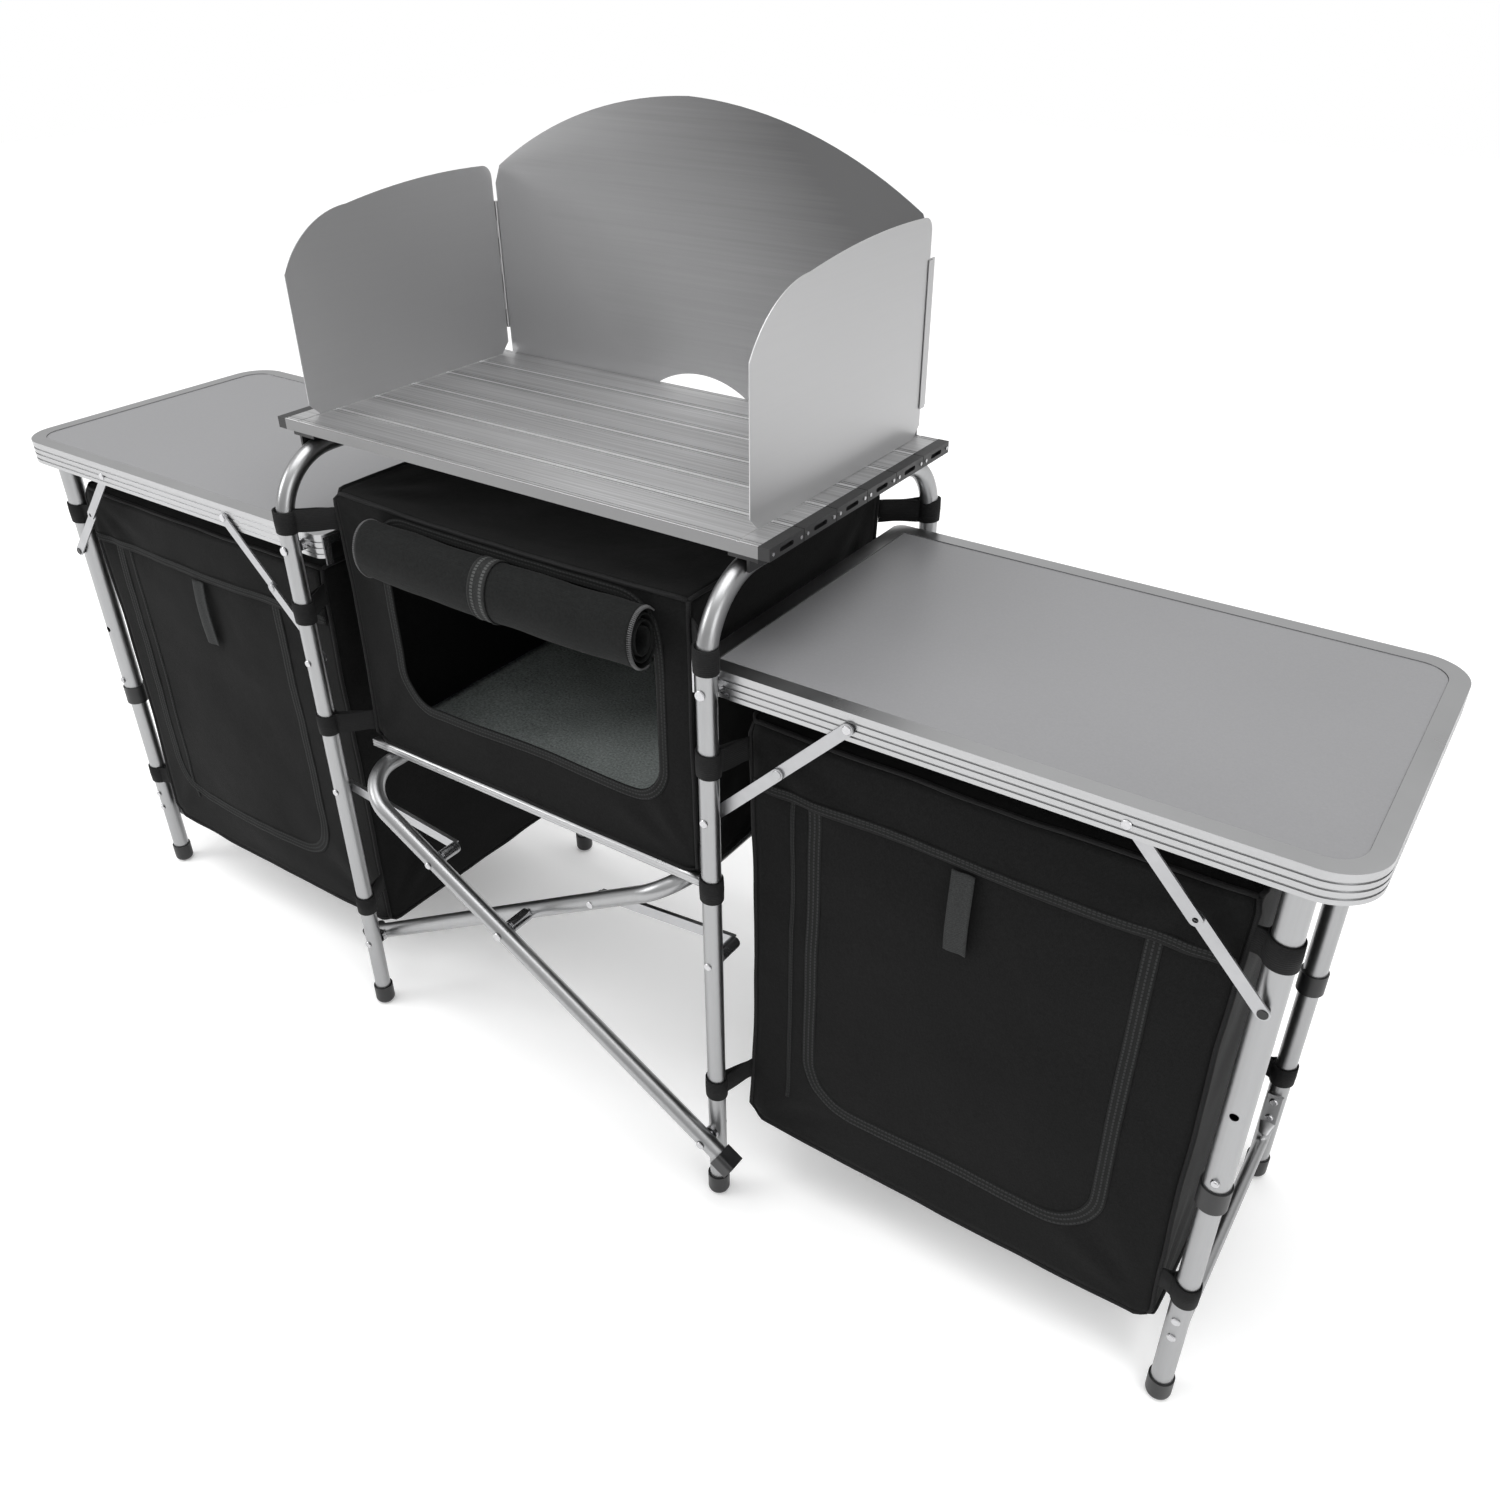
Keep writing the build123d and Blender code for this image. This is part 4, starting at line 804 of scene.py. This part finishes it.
# Aluminium rails under the cabinet's front and rear edges.
RAIL_HALF_W, RAIL_Z = 0.007, 0.416
RAIL_SIDE = [(RAIL_HALF_W, -0.0045), (0.0072, -0.003), (0.0064, -0.002), (0.0072, -0.001),
             (0.0072, 0.001), (0.0064, 0.002), (0.0072, 0.003), (RAIL_HALF_W, 0.0045)]
RAIL_SECTION = RAIL_SIDE + [(-across, -up) for across, up in RAIL_SIDE]
rails = Cloth()
rail_low, rail_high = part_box("cabinet_rails")
for rail_y in (rail_low.y + RAIL_HALF_W, rail_high.y - RAIL_HALF_W):
    ends = [Vector((x, rail_y, RAIL_Z)) for x in (rail_low.x, rail_high.x)]
    rails.sweep(spaced(ends, 0.03, closed=False), RAIL_SECTION, lambda i: REAR, lambda i: UP)
cabinet_rails = rails.made("cabinet_rails_bars", looks["table_edge_aluminium"])

slump((cabinet, cabinet_binding, doorway_seam), cab_low, cab_high, 21.0, 0.003, 0.006, 0.0,
      0.0011)
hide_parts("cabinet")
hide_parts("rolled_door")
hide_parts("cabinet_rails")
for piece, slot_name in ((cabinet, "black_fabric"), (cabinet_binding, "webbing"),
                         (doorway_seam, "black_fabric"), (cabinet_floor, "grey_tape"),
                         (rolled_door, "black_fabric"), (roll_strap, "grey_tape"),
                         (roll_teeth, "grey_tape"), (cabinet_rails, "table_edge_aluminium")):
    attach(piece, "root")
    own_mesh(piece)


# ---------------------------------- cupboards ----------------------------------
# Each door as (left, right, bottom, top), and the middle of its pull tab.
DOORS = {1: (0.373, 0.700, 0.172, 0.545), -1: (-0.729, -0.402, 0.165, 0.542)}
TAB_X = {1: 0.5295, -1: -0.548}
TAB_W, TAB_L, TAB_TOP_Z = 0.023, 0.092, 0.549
TAB_COUNT_W, TAB_COUNT_L = 6, 24
DOOR_CORNER_R = 0.058
BAND_LOW_Z = 0.552
BAND_IN = 0.004                 # the band ends this far inside the bag's edges
BAND_COUNT_L, BAND_COUNT_H = 60, 10
HEM_COUNT = 80


def door_seams(side, on_front):
    """The lines of the arched seam round a door and of the upright seam beside it."""
    left, right, bottom, top = DOORS[side]
    # An arch open at the top, where it runs under the band.
    arch = [Vector((left, 0, top + 0.012))]
    for turn, centre_x in ((180, left + DOOR_CORNER_R), (270, right - DOOR_CORNER_R)):
        for k in range(13):
            a = math.radians(turn + 90 * k / 12)
            arch.append(Vector((centre_x + DOOR_CORNER_R * math.cos(a), 0,
                                bottom + DOOR_CORNER_R + DOOR_CORNER_R * math.sin(a))))
    arch.append(Vector((right, 0, top + 0.012)))
    loop = [on_front(p.x, p.z, FABRIC_OUT) for p in spaced(arch, 0.006, False)]
    upright = [on_front(left - side * 0.026, top + 0.01 * (1 - k), FABRIC_OUT)
               for k in range(41)]
    return loop, upright


def band_rows(side, low, high, on_front):
    """The band along the top, which hangs over the door's upper edge."""
    rows = []
    for i in range(BAND_COUNT_L + 1):
        x = low.x + BAND_IN + (high.x - low.x - 2 * BAND_IN) * i / BAND_COUNT_L
        row = []
        for j in range(BAND_COUNT_H + 1):
            t = j / BAND_COUNT_H
            z = BAND_LOW_Z + (high.z - 0.002 - BAND_LOW_Z) * t
            lift = 0.0022 * (1 - t) ** 2 + 0.002
            lift += 0.0008 * ripple(Vector((x, 0, z)), side * 7.0, 0.06) * (1 - t)
            row.append(on_front(x, z + 0.001 * ripple(Vector((x, 0, 0)), side, 0.1), lift))
        rows.append(row)
    return rows


def tab_rows(side, on_front):
    """The tape tab that hangs in front of the door."""
    rows = []
    for i in range(TAB_COUNT_W + 1):
        x = TAB_X[side] - TAB_W / 2 + TAB_W * i / TAB_COUNT_W
        row = []
        for j in range(TAB_COUNT_L + 1):
            t = j / TAB_COUNT_L
            proud = 0.0058 + 0.004 * math.sin(t * math.pi) + 0.0008 * math.sin(i * 1.1)
            row.append(on_front(x, TAB_TOP_Z - TAB_L * t, proud)
                       + Vector((0.001 * math.sin(t * 4), 0, 0)))
        rows.append(row)
    return rows


def cupboard_front(side, name, low, high, on_front):
    """Door seams, top band and pull tab on the front of one cupboard, each with its slot."""
    loop, upright = door_seams(side, on_front)
    seam = seam_strip(f"{name}_door_seam", loop, FRONT, 0.016, False, side * 3.0)
    band = Cloth()
    band.slab(band_rows(side, low, high, on_front), 0.0014, lambda i, j: REAR)
    band_piece = band.made(f"{name}_top_band", looks["black_fabric"])
    hem_line = [on_front(low.x + 0.005 + (high.x - low.x - 0.01) * k / HEM_COUNT,
                         BAND_LOW_Z + 0.007, 0.0041) for k in range(HEM_COUNT + 1)]
    hem = seam_strip(f"{name}_band_hem", hem_line, FRONT, 0.01, False, side * 5.0, 2)
    tab = Cloth()
    tab.slab(tab_rows(side, on_front), 0.0016, lambda i, j: REAR)
    tab_piece = tab.made(f"{name}_door_tab", looks["grey_tape"])
    side_seam = seam_strip(f"{name}_inner_seam", upright, FRONT, 0.006, False, side * 9.0, 1)
    return {seam: "black_fabric", band_piece: "black_fabric", hem: "black_fabric",
            tab_piece: "grey_tape", side_seam: "black_fabric"}


# ---------------------------------- straps ----------------------------------
STRAP_H = 0.025
STAND_X, STAND_Y, STAND_R = 0.283, 0.210, 0.010
OUTER_X, OUTER_Y, UPPER_R, LOWER_R = 0.795, 0.166, 0.0125, 0.011
STAND_STRAPS_Z = (0.158, 0.5815)
CABINET_STRAPS_Z = (0.434, 0.6905)
UPPER_STRAP_Z, LOWER_STRAP_Z = 0.573, 0.152
TAIL_STOP = 0.0095              # a tail on a stand leg ends this far from the leg's middle
RING_COUNT, TAIL_COUNT = 36, 8


def ring_band(cloth, x, y, low_z, radius, tilt, thickness=0.0018):
    """A webbing ring round a leg; tilt drops one side of it."""
    path = []
    for k in range(RING_COUNT):
        a = 2 * math.pi * k / RING_COUNT
        path.append(Vector((x + radius * math.cos(a), y + radius * math.sin(a),
                            low_z + STRAP_H / 2 + tilt * math.cos(a))))
    half = STRAP_H / 2
    section = [(0.0, -half), (thickness, -half), (thickness * 1.2, 0.0), (thickness, half),
               (0.0, half), (-0.0001, 0.0)]
    cloth.sweep(path, section, lambda i: (path[i] - Vector((x, y, path[i].z))).normalized(),
                lambda i: UP, True)
    cloth.area += 2 * math.pi * radius * STRAP_H


def tail_band(cloth, start, end, low_z, gap=0.004, thickness=0.0016):
    """The doubled tail of a strap between a bag's edge and a leg."""
    along = (end - start).normalized()
    side = Vector((-along.y, along.x, 0))
    half = STRAP_H / 2
    section = [(0.0, -half), (thickness, -half), (thickness, half), (0.0, half)]
    for sign in (-1, 1):
        path = []
        for k in range(TAIL_COUNT + 1):
            t = k / TAIL_COUNT
            p = start.lerp(end, t) + side * sign * gap * (t ** 1.5)
            p.z = low_z + half + 0.0006 * math.sin(6 * t + sign)
            path.append(p)
        cloth.sweep(path, section, lambda i: side, lambda i: UP)
    cloth.area += 2 * (end - start).length * STRAP_H


def stand_tail(cloth, corner, leg, z):
    """A tail from a bag's corner to a stand leg."""
    tail_band(cloth, corner, leg - (leg - corner).normalized() * TAIL_STOP, z)


def cupboard_tails(side, name, low, high):
    """The eight doubled tails that tie one cupboard to its legs."""
    tails = Cloth()
    for y, corner_y in ((-1, low.y), (1, high.y)):
        for z in STAND_STRAPS_Z:
            stand_tail(tails, Vector((side * 0.300, corner_y, 0)),
                       Vector((side * STAND_X, y * STAND_Y, 0)), z)
        for z, leg_r in ((LOWER_STRAP_Z, LOWER_R), (UPPER_STRAP_Z, UPPER_R)):
            # These end just inside the tube, under the ring.
            tail_band(tails, Vector((side * 0.770, corner_y, 0)),
                      Vector((side * (OUTER_X - leg_r * 0.8), y * OUTER_Y, 0)), z, gap=0.006)
    return tails.made(f"{name}_strap_tails", looks["webbing"])


def leg_straps(side_name, part, body, rests_on, legs, heights, cabinet_heights=()):
    """The rings on one body's two legs, with tails at the heights where they hold the cabinet."""
    x, leg_y, radius = legs
    rings = Cloth()
    for y in (-1, 1):
        for z in heights:
            ring_band(rings, x, y * leg_y, z, radius + 0.0004, 0.0012 * y)
        for z in cabinet_heights:
            ring_band(rings, x, y * leg_y, z, radius + 0.0004, 0.001 * y)
            stand_tail(rings, Vector((math.copysign(0.240, x), y * 0.173, 0)),
                       Vector((x, y * leg_y, 0)), z)
    piece = rings.made(f"{side_name}_{part}", looks["webbing"])
    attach(piece, body)


for side_name, side in SIDES:
    low_x, high_x = sorted((side * 0.299, side * 0.771))
    low = Vector((low_x, -0.1665, 0.0985))
    high = Vector((high_x, 0.1645, 0.626))
    name = f"{side_name}_cupboard"
    bag, bag_area, on_bag = sewn_box(
        f"{name}_cloth", low, high, looks["black_fabric"], 11.0 + side,
        {"front": 0.004, "rear": 0.004, "left": -0.004, "right": -0.004, "top": -0.007,
         "bottom": -0.004}, wave=0.003, folds=0.0016)
    binding = edge_binding(f"{name}_edge_binding", low, high, 5.0 + side)
    front_slots = cupboard_front(side, name, low, high, on_bag)
    slump((bag, binding, *front_slots), low, high, 31.0 + side, 0.005, 0.005, 0.004)
    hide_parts(name)
    tail_piece = cupboard_tails(side, name, low, high)
    slots = {bag: "black_fabric", binding: "webbing", tail_piece: "webbing", **front_slots}
    for piece, slot_name in slots.items():
        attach(piece, f"{side_name}_frame")
        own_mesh(piece)

    # Rings round the legs, each on the body that its leg belongs to.
    upper, lower = f"{side_name}_upper_legs", f"{side_name}_lower_legs"
    leg_straps(side_name, "stand_straps", f"{side_name}_frame", f"{side_name}_stand_hoop",
               (side * STAND_X, STAND_Y, STAND_R), STAND_STRAPS_Z, CABINET_STRAPS_Z)
    leg_straps(side_name, "upper_leg_straps", upper, upper,
               (side * OUTER_X, OUTER_Y, UPPER_R), (UPPER_STRAP_Z,))
    leg_straps(side_name, "lower_leg_straps", lower, lower,
               (side * OUTER_X, OUTER_Y, LOWER_R), (LOWER_STRAP_Z,))

# ---------------------------------- snap buttons ----------------------------------
BUTTON_L, BUTTON_Z = 0.012, 0.329
BUTTON_OUT = 0.0036             # how far a button stands out of the upper tube
BUTTON_PROFILE = ((0.0, 0.0), (0.0036, 0.0), (0.004, 0.0005), (0.004, 0.0098),
                  (0.00385, 0.0106), (0.0034, 0.0113), (0.0026, 0.0118), (0.0, BUTTON_L))


def snap_button(node, x, end):
    """A turned button cap, pointing to the front (end -1) or the rear (end 1)."""
    base_y = end * (OUTER_Y + UPPER_R + BUTTON_OUT - BUTTON_L)
    base = (x, base_y, BUTTON_Z)
    lathe = bmesh.new()
    rim = [lathe.verts.new((x + r, base_y + end * h, BUTTON_Z)) for r, h in BUTTON_PROFILE]
    edges = [lathe.edges.new(pair) for pair in zip(rim, rim[1:])]
    bmesh.ops.spin(lathe, geom=rim + edges, axis=(0, 1, 0), steps=32, cent=base,
                   angle=2 * math.pi)
    bmesh.ops.remove_doubles(lathe, verts=lathe.verts, dist=1e-6)
    bmesh.ops.recalc_face_normals(lathe, faces=lathe.faces)
    for face in lathe.faces:
        face.smooth = True
    data = bpy.data.meshes.new(f"{node}_cap")
    lathe.to_mesh(data)
    lathe.free()
    data.materials.append(looks["steel_hardware"])
    button = bpy.data.objects.new(f"{node}_cap", data)
    bpy.context.scene.collection.objects.link(button)
    return button, base


# The spring lets the buttons sink while the legs slide into the upper tubes.
for side_name, side in SIDES:
    for end_name, end in (("front", -1), ("rear", 1)):
        node = f"{side_name}_{end_name}_snap_button"
        button, base = snap_button(node, side * OUTER_X, end)
        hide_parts(node)
        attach(button, f"{side_name}_{end_name}_button")
        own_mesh(button)
        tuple(base)


# ================================ studio ================================
stage = bmesh.new()
bmesh.ops.create_grid(stage, x_segments=24, y_segments=24, size=9.0)
floor_mesh = bpy.data.meshes.new("studio_floor")
stage.to_mesh(floor_mesh)
stage.free()
floor = bpy.data.objects.new("studio_floor", floor_mesh)
bpy.context.scene.collection.objects.link(floor)
floor_look = Shader("studio_floor", (0.93, 0.93, 0.93), 0.0, 0.9)
floor_look.tint(floor_look.grain(1.5, 2.0), 0.99, 1.01)
floor_look.bsdf.inputs["Emission Color"].default_value = (1, 1, 1, 1)
floor_look.bsdf.inputs["Emission Strength"].default_value = 0.2
floor_mesh.materials.append(floor_look.mat)
floor.location = (0, 0, -0.0008)

world = bpy.data.worlds.new("studio")
bpy.context.scene.world = world
world.use_nodes = True
# The studio is white to the eye; lower down it lights the metal a little less.
sky = world.node_tree.nodes
sky_link = world.node_tree.links
ray_way = sky.new("ShaderNodeTexCoord")
split = sky.new("ShaderNodeSeparateXYZ")
sky_link.new(ray_way.outputs["Generated"], split.inputs["Vector"])
height = sky.new("ShaderNodeMapRange")
height.inputs["From Min"].default_value = -0.1
height.inputs["From Max"].default_value = 0.8
height.inputs["To Min"].default_value = 0.42
height.inputs["To Max"].default_value = 1.0
sky_link.new(split.outputs["Z"], height.inputs["Value"])
ray = sky.new("ShaderNodeLightPath")
bright = sky.new("ShaderNodeMath")
bright.operation = "MAXIMUM"
sky_link.new(height.outputs["Result"], bright.inputs[0])
sky_link.new(ray.outputs["Is Camera Ray"], bright.inputs[1])
sky["Background"].inputs["Color"].default_value = (1, 1, 1, 1)
sky_link.new(bright.outputs[0], sky["Background"].inputs["Strength"])
bpy.context.scene.view_settings.view_transform = "Standard"


def softbox(name, place, aim, size, power):
    """A rectangular lamp aimed at a point of the table."""
    data = bpy.data.lights.new(name, "AREA")
    data.shape = "RECTANGLE"
    data.size, data.size_y = size
    data.energy = power
    lamp = bpy.data.objects.new(name, data)
    lamp.location = place
    lamp.rotation_euler = (Vector(aim) - Vector(place)).to_track_quat("-Z", "Y").to_euler()
    bpy.context.scene.collection.objects.link(lamp)


# Power is in watts and size in metres, width by height.
softbox("overhead", (0.2, -0.4, 3.4), (0.1, 0, 0.4), (3.2, 2.2), 60)
softbox("key_left", (-2.6, -2.2, 2.2), (0, 0, 0.5), (1.6, 1.6), 40)
softbox("fill_right", (3.0, -1.6, 1.6), (0.3, 0, 0.5), (1.4, 1.8), 20)

camera_data = bpy.data.cameras.new("camera")
camera = bpy.data.objects.new("camera", camera_data)
camera_data.sensor_width = 36.0
camera_data.lens = 30.97
camera_data.shift_x = -0.0028
camera_data.shift_y = 0.0037
camera_data.clip_start = 0.05
camera.location = (0.884, -1.0145, 1.2445)
look_at = Vector((0.029, 0.2369, 0.2734))
aimed = (look_at - camera.location).to_track_quat("-Z", "Y")
CAMERA_ROLL = math.radians(-0.17)
camera.rotation_mode = "QUATERNION"
camera.rotation_quaternion = aimed @ Quaternion((0, 0, 1), CAMERA_ROLL)
bpy.context.scene.collection.objects.link(camera)
bpy.context.scene.camera = camera
